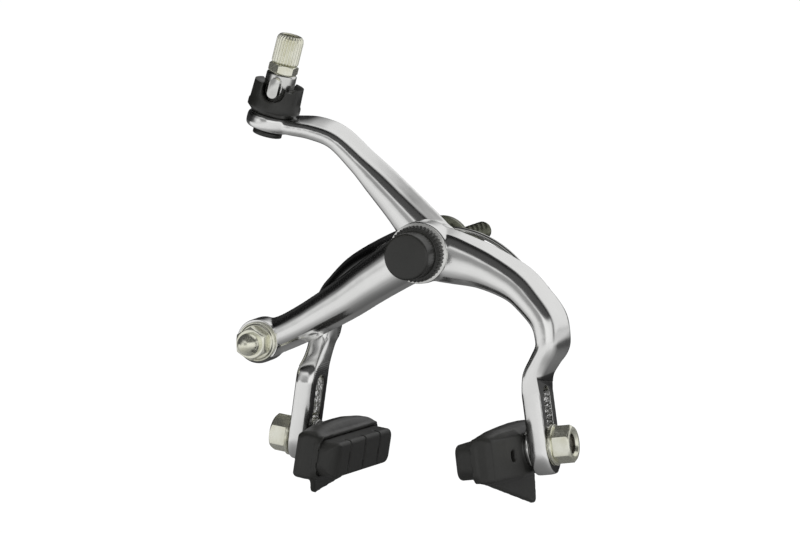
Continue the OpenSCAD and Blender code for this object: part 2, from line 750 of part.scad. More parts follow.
flute_depth = 0.35;
dome = 1.2;
foot_edge = 0.4;
module adjusting_barrel() {
    thread_len = lock_nut_t + seat_h - 3;
    core_r = barrel_d / 2 - flute_depth - 0.05;
    color(zinc) at_stop(barrel_base) difference() {
        union() {
            translate([0, 0, foot_edge]) linear_extrude(barrel_len - dome - foot_edge)
                polygon(ridged_outline(barrel_d / 2, flute_depth, barrel_flutes));
            rotate_extrude() polygon([
                [0, 0], [core_r - foot_edge, 0], [core_r, foot_edge],
                [core_r, barrel_len - dome], [core_r - 0.2, barrel_len - dome * 0.45],
                [core_r - 0.6, barrel_len], [0, barrel_len]
            ]);
            translate([0, 0, -thread_len]) cylinder(d = barrel_thread_d, h = thread_len + cut);
        }
        translate([0, 0, 2.4]) cylinder(d = housing_d, h = barrel_len);
        translate([0, 0, -thread_len - cut]) cylinder(d = cable_d, h = thread_len + barrel_len);
    }
}

// Brake shoes, in the frame of the slot: x outwards, y along the shoe, z up the slot
inner_face = -end_t / 2;
washer_in_t = 1.2;
holder_back = inner_face - washer_in_t;
brake_face = inner_face - shoe_depth;
holder_lip = brake_face + pad_t;
dome_rim = 0.2;    // thickness of the domed washer at its edge
dome_rise = 0.45;  // rise of its dome above the edge
ball_gap = 0.05;   // gap between the dome and its hollow
cupped_t = 0.4;    // least thickness of the cupped washer
washer_r = shoe_washer_d / 2;
ball_r = (washer_r * washer_r + dome_rise * dome_rise) / 2 / dome_rise;
ball_x = end_t / 2 + dome_rim + dome_rise - ball_r;
nut_seat = end_t / 2 + dome_rim + dome_rise + ball_gap + cupped_t;
boss_half = 7.5;
fit_gap = 0.1;

function stud_up(side) = side > 0 ? right_stud_up : left_stud_up;
module at_stud(side) {
    at_slot(side, stud_up(side)) children();
}
module shoe_frame(side) {
    at_stud(side) rotate([-side * shoe_pitch, 0, 0]) translate([0, 0, -shoe_drop]) children();
}

// Section of the holder at y, with its back at b, crown c and lower edge drawn in by e
function holder_ring(y, b, c, e) =
    let (a = holder_lip, h = holder_h / 2, s = b - a) [
        [a, y, -h + e + 0.8], [a, y, h - e - 0.8], [a + s * 0.06, y, h - e + c * 0.3],
        [a + s * 0.18, y, h - e + c * 0.8], [a + s * 0.36, y, h - e + c], [a + s * 0.58, y, h - e + c * 0.8],
        [a + s * 0.78, y, h - e + c * 0.4], [b - min(1, s * 0.12), y, h - e - 0.1], [b, y, h - e - 1],
        [b, y, -h + e + 0.4], [b - min(1, s * 0.12), y, -h + e - 0.4], [a + s * 0.4, y, -h + e - 0.5],
        [a + s * 0.1, y, -h + e]
    ];
fin_end_back = blend(holder_lip, holder_back, 0.8);
plain_end_back = blend(holder_lip, holder_back, 0.64);
function holder_rings() =
    let (l = shoe_len / 2, c = holder_crown) [
        holder_ring(-l + 0.5, blend(holder_lip, plain_end_back, 0.3), 0.1, 0.9),
        holder_ring(-l + 0.8, blend(holder_lip, plain_end_back, 0.68), 0.2, 0.5),
        holder_ring(-l + 1.7, blend(holder_lip, plain_end_back, 0.93), c * 0.2, 0.2),
        holder_ring(-l + 3.2, plain_end_back, c * 0.35, 0),
        holder_ring(-l + 9, blend(plain_end_back, holder_back, 0.45), c * 0.72, 0),
        holder_ring(-boss_half, holder_back, c * 0.94, 0),
        holder_ring(0, holder_back, c, 0),
        holder_ring(boss_half, holder_back, c * 0.94, 0),
        holder_ring(l - 9, blend(fin_end_back, holder_back, 0.5), c * 0.72, 0),
        holder_ring(l - 3.2, fin_end_back, c * 0.35, 0),
        holder_ring(l - 1.7, blend(holder_lip, fin_end_back, 0.94), c * 0.2, 0.2),
        holder_ring(l - 0.8, blend(holder_lip, fin_end_back, 0.7), 0.2, 0.5),
        holder_ring(l - 0.5, blend(holder_lip, fin_end_back, 0.3), 0.1, 0.9)
    ];

lip_t = 1.8;
lip_r = 3;
fin_t = 1.6;
hole_y = -12.5;
hole_w = 2.2;
module shoe_holder(side) {
    l = shoe_len / 2;
    h = holder_h / 2;
    drop = side > 0 ? right_fin_drop : left_fin_drop;
    color(plastic) shoe_frame(side) difference() {
        union() {
            skin(holder_rings());
            translate([holder_lip - lip_t * 0.4, 0, 0]) rotate([90, 0, 90]) linear_extrude(lip_t)
                difference() {
                    rounded_plate(shoe_len, holder_h, lip_r);
                    rounded_plate(pad_len + fit_gap * 2, pad_h + fit_gap * 2, pad_r + fit_gap);
                }
            translate([holder_lip + 0.2, 0, 0]) rotate([90, 0, 90]) linear_extrude(fin_t)
                polygon([
                    [l - 1.6, -h + 3], [l - 2, -h], [l - 3.4, -h - drop + 1.6], [l - 4.2, -h - drop + 0.4],
                    [l - 5.4, -h - drop], [l - 7, -h - drop + 0.4], [-l + 2.6, -h + 0.3], [-l + 6, -h + 3]
                ]);
        }
        translate([brake_face, 0, shoe_drop]) rotate([0, 90, 0])
            cylinder(r = stud_d / 2 + run_gap, h = 2 * shoe_depth);
        translate([holder_lip - cut, 0, 0]) rotate([90, 0, 90])
            linear_extrude(tongue_t + cut + fit_gap) tongue_plate(fit_gap);
        translate([holder_lip, 0, shoe_drop]) rotate([0, 90, 0])
            cylinder(d = stud_head_d + 0.3, h = tongue_t + stud_head_t + 2 * fit_gap);
        translate([blend(holder_lip, holder_back, 0.84), hole_y, 0]) rotate([90, 0, 90])
            translate([0, 0, -2]) linear_extrude(4) {
                translate([-hole_w / 2, -hole_w / 4]) square([hole_w, hole_w / 2]);
                for (z = [-hole_w / 4, hole_w / 4]) translate([0, z]) circle(d = hole_w, $fn = 32);
            }
    }
}

// Rectangle with rounded corners
module rounded_plate(l, h, r) {
    square([l, h - 2 * r], center = true);
    square([l - 2 * r, h], center = true);
    for (x = [-1, 1], y = [-1, 1])
        translate([x * (l / 2 - r), y * (h / 2 - r)]) circle(r = r, $fn = 32);
}

tongue_t = 2.6;
tongue_inset = 2.2;
tongue_r = 2;

// Outline of the rubber behind the lip, and of its pocket with some room
module tongue_plate(room) {
    inset = tongue_inset - room;
    rounded_plate(shoe_len - 2 * inset, pad_h - 2 * inset, tongue_r);
}

groove_w = 0.9;
groove_depth = 2.6;
block_pitch = shoe_len / 4;
pad_r = 3.2;
pad_len = shoe_len - 0.6;
pad_fin_r = 4.8;
pad_plain_r = 1.2;
module brake_pad(side) {
    deep = pad_t - fit_gap;
    color(rubber) shoe_frame(side) difference() {
        union() {
            intersection() {
                translate([brake_face, 0, 0]) rotate([90, 0, 90]) linear_extrude(deep)
                    rounded_plate(pad_len, pad_h, pad_r);
                translate([0, 0, -pad_h]) linear_extrude(2 * pad_h) {
                    translate([brake_face, -pad_len / 2 + pad_plain_r])
                        square([deep, pad_len - pad_plain_r - pad_fin_r]);
                    translate([brake_face + pad_plain_r, -pad_len / 2])
                        square([deep - pad_plain_r, pad_len / 2]);
                    translate([brake_face + pad_plain_r, -pad_len / 2 + pad_plain_r]) circle(r = pad_plain_r);
                    translate([brake_face + pad_fin_r, 0]) square([deep - pad_fin_r, pad_len / 2]);
                    translate([brake_face + pad_fin_r, pad_len / 2 - pad_fin_r]) circle(r = pad_fin_r);
                }
            }
            translate([holder_lip - fit_gap - 0.2, 0, 0]) rotate([90, 0, 90])
                linear_extrude(tongue_t + 0.2) tongue_plate(0);
        }
        for (y = [-1 : 1])
            translate([brake_face - cut, y * block_pitch - groove_w / 2, -pad_h])
                cube([groove_depth + cut, groove_w, 2 * pad_h]);
    }
}

stud_head_d = 11;
stud_head_t = 2;
module shoe_stud(side) {
    head_x = holder_lip + tongue_t + fit_gap;
    color(zinc) at_stud(side) rotate([0, 90, 0]) {
        translate([0, 0, head_x]) cylinder(d = stud_head_d, h = stud_head_t);
        translate([0, 0, head_x]) cylinder(d = stud_d, h = nut_seat + shoe_nut_t - 1.2 - head_x);
    }
}

module shoe_washer(side, x, t) {
    at_stud(side) translate([x, 0, 0]) rotate([0, 90, 0]) difference() {
        cylinder(d = shoe_washer_d, h = t);
        translate([0, 0, -cut]) cylinder(r = stud_d / 2 + loose_gap, h = t + 2 * cut);
    }
}

module inner_washer(side) {
    color(steel) shoe_washer(side, holder_back, washer_in_t);
}

// Half outline turned round the stud: distance from the stud, then place outwards
module turned_on_stud(side) {
    color(zinc) at_stud(side) rotate([0, 90, 0]) rotate_extrude() children();
}

ball_steps = 4;
stud_hole = stud_d / 2 + loose_gap;
function ball_line(r) = [
    for (i = [0 : ball_steps]) let (a = blend(stud_hole, washer_r, i / ball_steps))
        [a, ball_x + sqrt(r * r - a * a)]
];

module domed_washer(side) {
    turned_on_stud(side) polygon(concat([[washer_r, end_t / 2], [stud_hole, end_t / 2]], ball_line(ball_r)));
}

module cupped_washer(side) {
    turned_on_stud(side)
        polygon(concat([[washer_r, nut_seat], [stud_hole, nut_seat]], ball_line(ball_r + ball_gap)));
}

module shoe_nut(side) {
    color(zinc) at_stud(side) translate([nut_seat, 0, 0]) rotate([0, 90, 0]) difference() {
        hex_nut(shoe_nut_af, shoe_nut_t, stud_d / 2 + run_gap);
        translate([0, 0, shoe_nut_t - 0.8]) cylinder(d1 = stud_d, d2 = stud_d + 1.7, h = 0.8 + eps);
    }
}

front_arm();
rear_arm();
centre_bolt();
mounting_washer();
spring_bracket();
return_spring();
rear_pivot_washer();
middle_pivot_washer();
front_pivot_washer();
pivot_nut();
pivot_lock_nut();
centre_cap();
anchor_bolt();
anchor_washer();
anchor_nut();
release_cup();
retaining_ring();
cable_seat();
barrel_lock_nut();
adjusting_barrel();
shoe_holder(-1);  // left_shoe_holder
brake_pad(-1);  // left_brake_pad
shoe_stud(-1);  // left_shoe_stud
inner_washer(-1);  // left_inner_washer
domed_washer(-1);  // left_domed_washer
cupped_washer(-1);  // left_cupped_washer
shoe_nut(-1);  // left_shoe_nut
shoe_holder(1);  // right_shoe_holder
brake_pad(1);  // right_brake_pad
shoe_stud(1);  // right_shoe_stud
inner_washer(1);  // right_inner_washer
domed_washer(1);  // right_domed_washer
cupped_washer(1);  // right_cupped_washer
shoe_nut(1);  // right_shoe_nut
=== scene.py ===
"""Looks of a side-pull caliper brake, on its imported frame. Lengths in the functions are millimetres."""

import json
import math

import bmesh
import bpy
import numpy as np
from mathutils import Matrix


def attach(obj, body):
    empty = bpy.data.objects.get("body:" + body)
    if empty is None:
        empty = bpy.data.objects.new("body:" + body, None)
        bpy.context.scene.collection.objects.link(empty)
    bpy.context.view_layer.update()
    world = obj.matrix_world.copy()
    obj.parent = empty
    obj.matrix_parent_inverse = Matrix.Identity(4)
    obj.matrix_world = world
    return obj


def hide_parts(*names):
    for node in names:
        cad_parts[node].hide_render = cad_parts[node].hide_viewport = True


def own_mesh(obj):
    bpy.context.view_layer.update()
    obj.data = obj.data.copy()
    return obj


bl_info = {
    "name": "Caliper Brake Looks",
    "version": (1, 0, 0),
    "blender": (4, 5, 0),
    "location": "View3D > Sidebar > Brake",
    "description": "Surfaces, finishes and studio for a side-pull caliper brake",
    "category": "Object",
}

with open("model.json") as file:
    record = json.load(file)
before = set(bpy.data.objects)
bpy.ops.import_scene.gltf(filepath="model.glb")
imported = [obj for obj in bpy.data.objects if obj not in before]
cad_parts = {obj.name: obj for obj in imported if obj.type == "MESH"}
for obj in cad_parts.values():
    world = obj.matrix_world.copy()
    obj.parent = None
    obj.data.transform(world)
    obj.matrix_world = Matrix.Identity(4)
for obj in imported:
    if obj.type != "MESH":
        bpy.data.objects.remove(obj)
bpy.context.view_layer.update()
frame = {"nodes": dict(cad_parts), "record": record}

MM = 0.001
SHARP, CAD_SHARP = 38.0, 30.0
FINISH = {}


# ---------------------------------------------------------------- node trees


class Wire:
    """A node socket that takes part in sums: each operator adds a Math node."""

    def __init__(self, paint, socket):
        self.paint = paint
        self.socket = socket

    def math(self, operation, *others):
        return self.paint.node("ShaderNodeMath", {"operation": operation}, dict(enumerate((self,) + others)))

    def __add__(self, other):
        return self.math("ADD", other)

    def __sub__(self, other):
        return self.math("SUBTRACT", other)

    def __mul__(self, other):
        return self.math("MULTIPLY", other)

    def __rsub__(self, other):
        return self.paint.node("ShaderNodeMath", {"operation": "SUBTRACT"}, {0: other, 1: self})

    __radd__ = __add__
    __rmul__ = __mul__

    def clamped(self):
        return self.paint.node("ShaderNodeClamp", {}, {"Value": self, "Min": 0.0, "Max": 1.0})

    def above(self, start, width):
        """0 below start, 1 above start + width."""
        return ((self - start) * (1.0 / width)).clamped()

    def part(self, axis):
        return self.paint.node("ShaderNodeSeparateXYZ", {}, {0: self}, axis)


class Paint:
    """A node tree written as Python: node() is its one way to add a node."""

    def __init__(self, tree):
        self.tree = tree
        tree.nodes.clear()

    def node(self, kind, settings=None, inputs=None, out=0):
        node = self.tree.nodes.new(kind)
        for key, value in (settings or {}).items():
            if key == "stops":
                ramp = node.color_ramp.elements
                while len(ramp) < len(value):
                    ramp.new(0.5)
                for element, (place, shade) in zip(ramp, value):
                    element.position = place
                    element.color = (shade, shade, shade, 1) if isinstance(shade, float) else (*shade, 1)
            else:
                setattr(node, key, value)
        for key, value in (inputs or {}).items():
            if isinstance(value, Wire):
                self.tree.links.new(value.socket, node.inputs[key])
            else:
                node.inputs[key].default_value = value
        return Wire(self, node.outputs[out] if len(node.outputs) else None)

    def place(self, turn=(0, 0, 0), stretch=(1, 1, 1)):
        """Object coordinates, turned and stretched."""
        here = self.node("ShaderNodeTexCoord", {}, {}, "Object")
        return self.node("ShaderNodeMapping", {}, {"Vector": here, "Rotation": turn, "Scale": stretch})

    def here(self):
        """The three Object coordinates, in millimetres."""
        place = self.node("ShaderNodeTexCoord", {}, {}, "Object")
        return [place.part(axis) * 1000.0 for axis in "XYZ"]

    def noise(self, scale, detail=3.0, roughness=0.5, place=None):
        return self.node(
            "ShaderNodeTexNoise",
            {},
            {"Vector": place or self.place(), "Scale": scale, "Detail": detail, "Roughness": roughness},
        )

    def ramp(self, value, stops):
        return self.node("ShaderNodeValToRGB", {"stops": stops}, {"Fac": value})

    def mix(self, share, a, b):
        """Colour a where share is 0, and b where it is 1."""
        return self.node("ShaderNodeMix", {"data_type": "RGBA"}, {0: share, 6: rgba(a), 7: rgba(b)}, 2)

    def bump(self, height, depth, strength=1.0, under=None):
        sockets = {"Height": height, "Distance": depth, "Strength": strength}
        if under:
            sockets["Normal"] = under
        return self.node("ShaderNodeBump", {}, sockets)

    def skin(self, inputs):
        shader = self.node("ShaderNodeBsdfPrincipled", {}, inputs)
        self.node("ShaderNodeOutputMaterial", {}, {"Surface": shader})


def rgba(colour):
    return colour if isinstance(colour, Wire) else (*colour[:3], 1.0)


def finish(name):
    material = bpy.data.materials.get(name) or bpy.data.materials.new(name)
    material.use_nodes = True
    return material, Paint(material.node_tree)


def end_frame(x, z):
    """How far out and how far up a place lies in the frame of the slotted end on its side."""
    beside, over = x.math("ABSOLUTE") - END_X, z + REACH
    c, s = math.cos(LEAN), math.sin(LEAN)
    return beside * c + over * s, over * c - beside * s


def polished_alloy(colour):
    """Forged aluminium, tumbled and buffed: soft waves of the forging, fine buffing lines and small pits. The
    milled flats of the slotted ends are dull, and painted shade makes them dark; painted shade also darkens
    the stretch of the rear arm behind the front arm; and the wall of the slot is rough."""
    material, p = finish("polished_alloy")
    x, y, z = p.here()
    out, up = end_frame(x, z)
    at_end = out.above(-9.0, 0.5) * (1.0 - up.above(31.0, 5.0))
    outer = out.above(END_T / 2 - 0.16, 0.08) * (1.0 - up.above(23.0, 0.5))
    inner = 1.0 - out.above(-END_T / 2 + 0.10, 0.25)
    slot = at_end * (1.0 - (y - STUD_Y).math("ABSOLUTE").above(SLOT_W / 2 + 0.02, 0.05))
    slot = slot * (1.0 - up.above(SLOT_TRAVEL + SLOT_W / 2 + 0.05, 0.05))
    slot = slot * (1.0 - out.above(END_T / 2 - 0.3, 0.1)) * out.above(-END_T / 2 + 0.4, 0.1)
    # painted shade: the milled flats and inner faces of the slotted ends, darkened as if shaded in their
    # recesses
    milled = (at_end * (outer + inner)).clamped() * (1.0 - slot)
    # painted shade on the rear arm where it runs behind the front arm
    shade_behind_front_arm = y.above(-13.9, 0.2) * (1.0 - x.above(-9.0, 3.0))
    shade_behind_front_arm = shade_behind_front_arm * (1.0 - z.above(-1.0, 4.0)) * z.above(-24.0, 5.0)
    grooves = (up * (2 * math.pi / GROOVE_PITCH)).math("SINE") * inner * at_end * up.above(17.0, 3.0)
    cloud = p.noise(70.0, 4.0, 0.6)
    lines = p.noise(240.0, 2.0, 0.6, p.place((0.0, 0.5, 0.0), (0.6, 14.0, 0.6)))
    pits = p.ramp(p.noise(1500.0, 2.0, 0.6), [(0.22, 0.0), (0.34, 1.0)])
    waves = p.noise(120.0, 1.5, 0.5)
    tone = p.ramp(cloud, [(0.30, 0.0), (0.72, 1.0)])
    shade = p.mix(tone, [c * 0.93 for c in colour], colour)
    # painted shade: near black on the milled flats and inner faces of the slotted ends
    shade = p.mix((milled * 0.92).clamped(), shade, (0.028, 0.028, 0.027))
    # painted shade: dark grey where the rear arm lies behind the front arm
    shade = p.mix((shade_behind_front_arm * 0.85).clamped(), shade, (0.06, 0.06, 0.06))
    normal = p.bump(waves, 0.00025, 0.5)
    normal = p.bump(lines, 0.00001, 0.35, normal)
    normal = p.bump(pits, 0.00002, 0.25, normal)
    normal = p.bump(grooves, 0.00006, 0.6, normal)
    normal = p.bump(p.noise(620.0, 2.0, 0.6) * slot, 0.0006, 1.0, normal)
    rough = 0.10 + 0.08 * cloud + 0.05 * lines + 0.12 * milled
    p.skin({"Base Color": shade, "Metallic": 1.0, "Roughness": rough, "Normal": normal})
    return material


def plated(name, light, dark, rough, metallic=1.0, grain=900.0):
    """Plated steel: cloudy tones over a slightly rough ground, and painted shade in the open ends of the shoe
    nuts.
    """
    material, p = finish(name)
    x, y, z = p.here()
    out, up = end_frame(x, z)
    up = up - x.above(0.0, 1.0) * STUD_UP[1]
    across = (up * up + (y - STUD_Y) * (y - STUD_Y)).math("SQRT")
    # painted shade: a dark hollow round the stud's end inside the shoe nuts
    bore = (1.0 - across.above(3.0, 0.15)) * out.above(END_T / 2 + 3.0, 0.5)
    bore = bore * (1.0 - out.above(END_T / 2 + 9.0, 0.5))
    cloud = p.noise(190.0, 4.0, 0.6)
    fine = p.noise(grain, 3.0, 0.6)
    shade = p.mix(p.ramp(cloud, [(0.34, 0.0), (0.66, 1.0)]), light, dark)
    # painted shade in the open ends of the shoe nuts
    shade = p.mix(bore * 0.92, shade, (0.035, 0.02, 0.015))
    normal = p.bump(fine, 0.000003, 0.3)
    p.skin(
        {
            "Base Color": shade,
            "Metallic": metallic,
            "Roughness": rough + 0.10 * (cloud - 0.5) + 0.03 * (fine - 0.5),
            "Normal": normal,
        }
    )
    return material


def moulded(name, light, dark, rough, grain, depth):
    """Moulded plastic or rubber: a fine grain, with dull and shiny patches."""
    material, p = finish(name)
    cloud = p.noise(110.0, 3.0, 0.55)
    fine = p.noise(grain, 4.0, 0.65)
    shade = p.mix(p.ramp(cloud, [(0.3, 0.0), (0.7, 1.0)]), dark, light)
    normal = p.bump(fine, depth, 0.6)
    normal = p.bump(cloud, 0.0002, 0.25, normal)
    p.skin(
        {
            "Base Color": shade,
            "Metallic": 0.0,
            "Roughness": rough + 0.22 * (cloud - 0.5) + 0.12 * (fine - 0.5),
            "Normal": normal,
        }
    )
    return material


# ---------------------------------------------------------------- surfaces


def unit(v):
    return v / np.linalg.norm(v, axis=-1, keepdims=True)


def filleted(corners, radius, steps=5):
    """A line through corners with each inner corner rounded: a parabola that leaves the corner's two sides
    at the radius, or at half the shorter side."""
    p = np.asarray(corners, float)
    radius = np.broadcast_to(np.asarray(radius, float), len(p))
    before, after = p[:-2] - p[1:-1], p[2:] - p[1:-1]
    la, lb = np.linalg.norm(before, axis=1), np.linalg.norm(after, axis=1)
    cut = np.minimum(radius[1:-1], np.minimum(la, lb) * 0.49)[:, None]
    start, end = p[1:-1] + before / la[:, None] * cut, p[1:-1] + after / lb[:, None] * cut
    t = np.linspace(0, 1, steps)[None, :, None]
    arcs = (1 - t) ** 2 * start[:, None] + 2 * t * (1 - t) * p[1:-1][:, None] + t**2 * end[:, None]
    return np.vstack([p[:1], arcs.reshape(-1, p.shape[1]), p[-1:]])


def dense(line, step):
    """The same line with points no further apart than step."""
    p = np.asarray(line, float)
    lengths = np.maximum(np.linalg.norm(np.diff(p, axis=0), axis=1), 1e-9)
    counts = np.maximum(np.ceil(lengths / step).astype(int), 1)
    start = np.repeat(np.arange(len(counts)), counts)
    step_in_side = np.arange(counts.sum()) - np.repeat(np.cumsum(counts) - counts, counts)
    share = step_in_side / np.repeat(counts, counts)
    return np.vstack([p[start] + (p[start + 1] - p[start]) * share[:, None], p[-1:]])


def hexagon(flats, softness, start, turn=0.0):
    """A shape for turned(). Outside the radius start it takes the distance from the axis to a hexagon: half
    the flats over the cosine of the angle to the nearest flat. The smaller of it and the turned radius wins,
    with a soft change between them."""

    def shape(radius, angle, height):
        side = flats / 2 / np.cos((angle + turn + math.pi / 6) % (math.pi / 3) - math.pi / 6)
        gap = (radius - side) / softness
        soft = -softness * np.log(np.exp(-radius / softness) + np.exp(-side / softness))
        smaller = np.where(gap > 30, side, np.where(gap < -30, radius, soft))
        return np.where(radius > start, smaller, radius)

    return shape


def turned(line, around, shape=None):
    """A line of (radius, height) turned about the axis. shape changes each radius, given its angle and
    height."""
    line = np.asarray(line, float)
    angle = np.linspace(0, 2 * math.pi, around, endpoint=False)[None, :]
    radius = np.repeat(line[:, :1], around, 1)
    height = np.repeat(line[:, 1:2], around, 1)
    if shape:
        radius = shape(radius, angle, height)
    return np.stack([radius * np.cos(angle), radius * np.sin(angle), height], -1)


def smooth_rows(rows, steps):
    """Rows between stations, on a cubic through each four neighbours whose slope at a station is half the
    difference of the stations beside it."""
    p = np.asarray(rows, float)
    padded = np.vstack([p[:1], p, p[-1:]])
    a, b, c, d = (padded[i : i + len(p) - 1, None] for i in range(4))
    t = (np.arange(steps) / steps)[None, :, None]
    curve = 0.5 * (2 * b + (c - a) * t + (2 * a - 5 * b + 4 * c - d) * t**2 + (3 * b - a - 3 * c + d) * t**3)
    return np.vstack([curve.reshape(-1, p.shape[1]), p[-1:]])


def forging(rows, front_points=40, squareness=0.72):
    """A forged bar: at each row a section of a flat back with rounded corners and a domed front, whose
    half-width and depth follow the cosine and sine to a power, without their steep ends where the sides are
    drawn in. The section stands square to the path."""
    r = np.asarray(rows, float)
    x, z, width, front, back, outer, inner, depth, corner = (r[:, i : i + 1] for i in range(9))
    steep = 0.6 * np.clip(outer, 0, 1)
    a = steep + (math.pi - 2 * steep) * np.linspace(0, 1, front_points + 1)[None, :]
    reach = (width - outer - inner) / 2 / np.cos(steep) ** squareness
    side = (inner - outer) / 2 + reach * np.sign(np.cos(a)) * np.abs(np.cos(a)) ** squareness
    rise = np.maximum(np.sin(a), 0) ** squareness
    y = front + depth * (1 - rise) / (1 - np.sin(steep) ** squareness)
    b = np.linspace(math.pi, math.pi / 2, 6)[None, :]
    c = np.linspace(math.pi / 2, 0, 6)[None, :]
    left, right = corner - width / 2, width / 2 - corner
    side = np.hstack([side, left + corner * np.cos(b), right + corner * np.cos(c)])
    y = np.hstack([y, back - corner + corner * np.sin(b), back - corner + corner * np.sin(c)])
    ahead = np.vstack([r[1:, :2], r[-1:, :2]]) - np.vstack([r[:1, :2], r[:-1, :2]])
    d = unit(ahead)
    return np.stack([x - side * d[:, 1:2], y, z + side * d[:, 0:1]], -1)


def tube(path, radius, around):
    """A round wire along a path that lies in a plane of one Y, with a radius for each point."""
    p = np.asarray(path, float)
    d = unit(np.gradient(p[:, [0, 2]], axis=0))
    a = np.linspace(0, 2 * math.pi, around, endpoint=False)[None, :]
    radius = np.asarray(radius, float)[:, None]
    x = p[:, 0:1] - radius * np.cos(a) * d[:, 1:2]
    z = p[:, 2:3] + radius * np.cos(a) * d[:, 0:1]
    return np.stack([x, p[:, 1:2] - radius * np.sin(a), z], -1)


def placed(points, origin=(0, 0, 0), x=(1, 0, 0), y=(0, 1, 0), z=(0, 0, 1)):
    """Points of a frame with these axes, in the brake's own frame."""
    return points @ np.array([x, y, z], float) + np.asarray(origin, float)


def shell(rings, ends="fan"):
    """Vertices and faces of a closed skin over a grid of rings. ends is fan, where each end closes on its
    middle point, or loop, where the last ring joins the first."""
    n, m, _ = rings.shape
    points = rings.reshape(-1, 3)
    last = n if ends == "loop" else n - 1
    i, j = np.meshgrid(np.arange(last), np.arange(m), indexing="ij")
    a, b = i * m + j, i * m + (j + 1) % m
    below = ((i + 1) % n) * m
    faces = np.stack([a, b, below + (j + 1) % m, below + j], -1).reshape(-1, 4).tolist()
    if ends == "fan":
        k = np.arange(m)
        points = np.vstack([points, rings[0].mean(0), rings[-1].mean(0)])
        faces += np.stack([(k + 1) % m, k, np.full(m, n * m)], -1).tolist()
        faces += np.stack([(n - 1) * m + k, (n - 1) * m + (k + 1) % m, np.full(m, n * m + 1)], -1).tolist()
    return points, faces


def model(name, *parts, sharp=SHARP):
    """One object from closed skins, in metres, with its doubles merged and its faces outwards."""
    mesh = bpy.data.meshes.new(name)
    points, faces, base = [], [], 0
    for part_points, part_faces in parts:
        points.append(part_points)
        faces += [[base + v for v in face] for face in part_faces]
        base += len(part_points)
    mesh.from_pydata((np.vstack(points) * MM).tolist(), [], faces)
    obj = bpy.data.objects.new(name, mesh)
    bpy.context.scene.collection.objects.link(obj)
    work = bmesh.new()
    work.from_mesh(mesh)
    bmesh.ops.remove_doubles(work, verts=work.verts, dist=1e-7)
    bmesh.ops.dissolve_degenerate(work, edges=work.edges, dist=1e-8)
    bmesh.ops.recalc_face_normals(work, faces=work.faces)
    work.to_mesh(mesh)
    work.free()
    polish(obj, sharp)
    return obj


def polish(obj, sharp):
    """Smooth shading, but for edges sharper than that many degrees."""
    obj.data.shade_smooth()
    obj.data.set_sharp_from_angle(angle=math.radians(sharp))


def settled(obj, sharp=SHARP):
    """Puts what the modifiers make into the mesh itself."""
    graph = bpy.context.evaluated_depsgraph_get()
    mesh = bpy.data.meshes.new_from_object(obj.evaluated_get(graph))
    obj.modifiers.clear()
    old = obj.data
    obj.data = mesh
    bpy.data.meshes.remove(old)
    polish(obj, sharp)
    return obj


def fused(obj, voxel, passes):
    """Overlapping skins become one, with a small fillet where they meet."""
    one = obj.modifiers.new("one_skin", "REMESH")
    one.mode = "VOXEL"
    one.voxel_size = voxel * MM
    one.use_smooth_shade = True
    ease = obj.modifiers.new("ease", "SMOOTH")
    ease.factor = 0.5
    ease.iterations = passes
    return settled(obj)


def carved(obj, cutters):
    """Takes the cutters' shapes out of the piece."""
    for cutter in cutters:
        cut = obj.modifiers.new(cutter.name, "BOOLEAN")
        cut.operation = "DIFFERENCE"
        cut.solver = "EXACT"
        cut.object = cutter
    bpy.context.view_layer.update()
    settled(obj)
    for cutter in cutters:
        mesh = cutter.data
        bpy.data.objects.remove(cutter)
        bpy.data.meshes.remove(mesh)


def copy_of(node, name):
    """A merged copy of a CAD node's mesh, with its flat faces whole again."""
    obj = bpy.data.objects.new(name, frame["nodes"][node].data.copy())
    bpy.context.scene.collection.objects.link(obj)
    work = bmesh.new()
    work.from_mesh(obj.data)
    bmesh.ops.remove_doubles(work, verts=work.verts, dist=2e-7)
    bmesh.ops.dissolve_limit(work, angle_limit=math.radians(0.6), verts=work.verts, edges=work.edges)
    work.to_mesh(obj.data)
    work.free()
    polish(obj, CAD_SHARP)
    return obj


def eased(node, width):
    """A copy of a CAD node with its edges rounded."""
    obj = copy_of(node, node + "_eased")
    edge = obj.modifiers.new("edge", "BEVEL")
    edge.width = width * MM
    edge.segments = 2
    edge.limit_method = "ANGLE"
    edge.angle_limit = math.radians(CAD_SHARP)
    edge.use_clamp_overlap = True
    return settled(obj)


def dress(obj, node, body, slot):
    """The piece stands for its node, rides its body and takes its finish."""
    obj.data.materials.clear()
    obj.data.materials.append(FINISH[slot])
    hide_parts(node)
    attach(obj, body)


# ---------------------------------------------------------------- places

TO_FRONT = dict(x=(1, 0, 0), y=(0, 0, 1), z=(0, -1, 0))
LEAN = math.radians(8.0)
STOP_LEAN = math.radians(15.0)
END_X, REACH, STUD_Y = 38.65, 58.6, -18.0
END_T, END_W, SLOT_W, SLOT_TRAVEL = 6.0, 14.0, 6.4, 16.8
STUD_UP = {1: 1.8, -1: 0.0}
REAR_BACK, REAR_FRONT = -5.3, -13.7
FRONT_BACK, FRONT_FRONT = -14.2, -22.6
ANCHOR = np.array([-52.2, -29.4])
STOP = np.array([-52.7, -12.0, 33.3])
TAB_FOOT, TAB_T, TAB_R = 1.2, 5.0, 7.3
CUP_BASE = TAB_FOOT + TAB_T
SEAT_BASE = CUP_BASE + 2.3
SEAT_TOP = SEAT_BASE + 10.5
BARREL_BASE = SEAT_TOP + 2.9
ANCHOR_SINK, ANCHOR_WASHER_T = 0.8, 1.6
BORE_R, THROUGH = 3.03, -40
SPRING_Y, SPRING_Z, SPRING_R = -3.3, 5.3, 0.8
PEG_R, PEG_ANGLE = 1.5, 66
GROOVE_PITCH = 0.62
BRAKE_FACE = -END_T / 2 - 17.0
HOLDER_LIP = BRAKE_FACE + 6.2
PAD_L, PAD_H = 49.4, 10.8
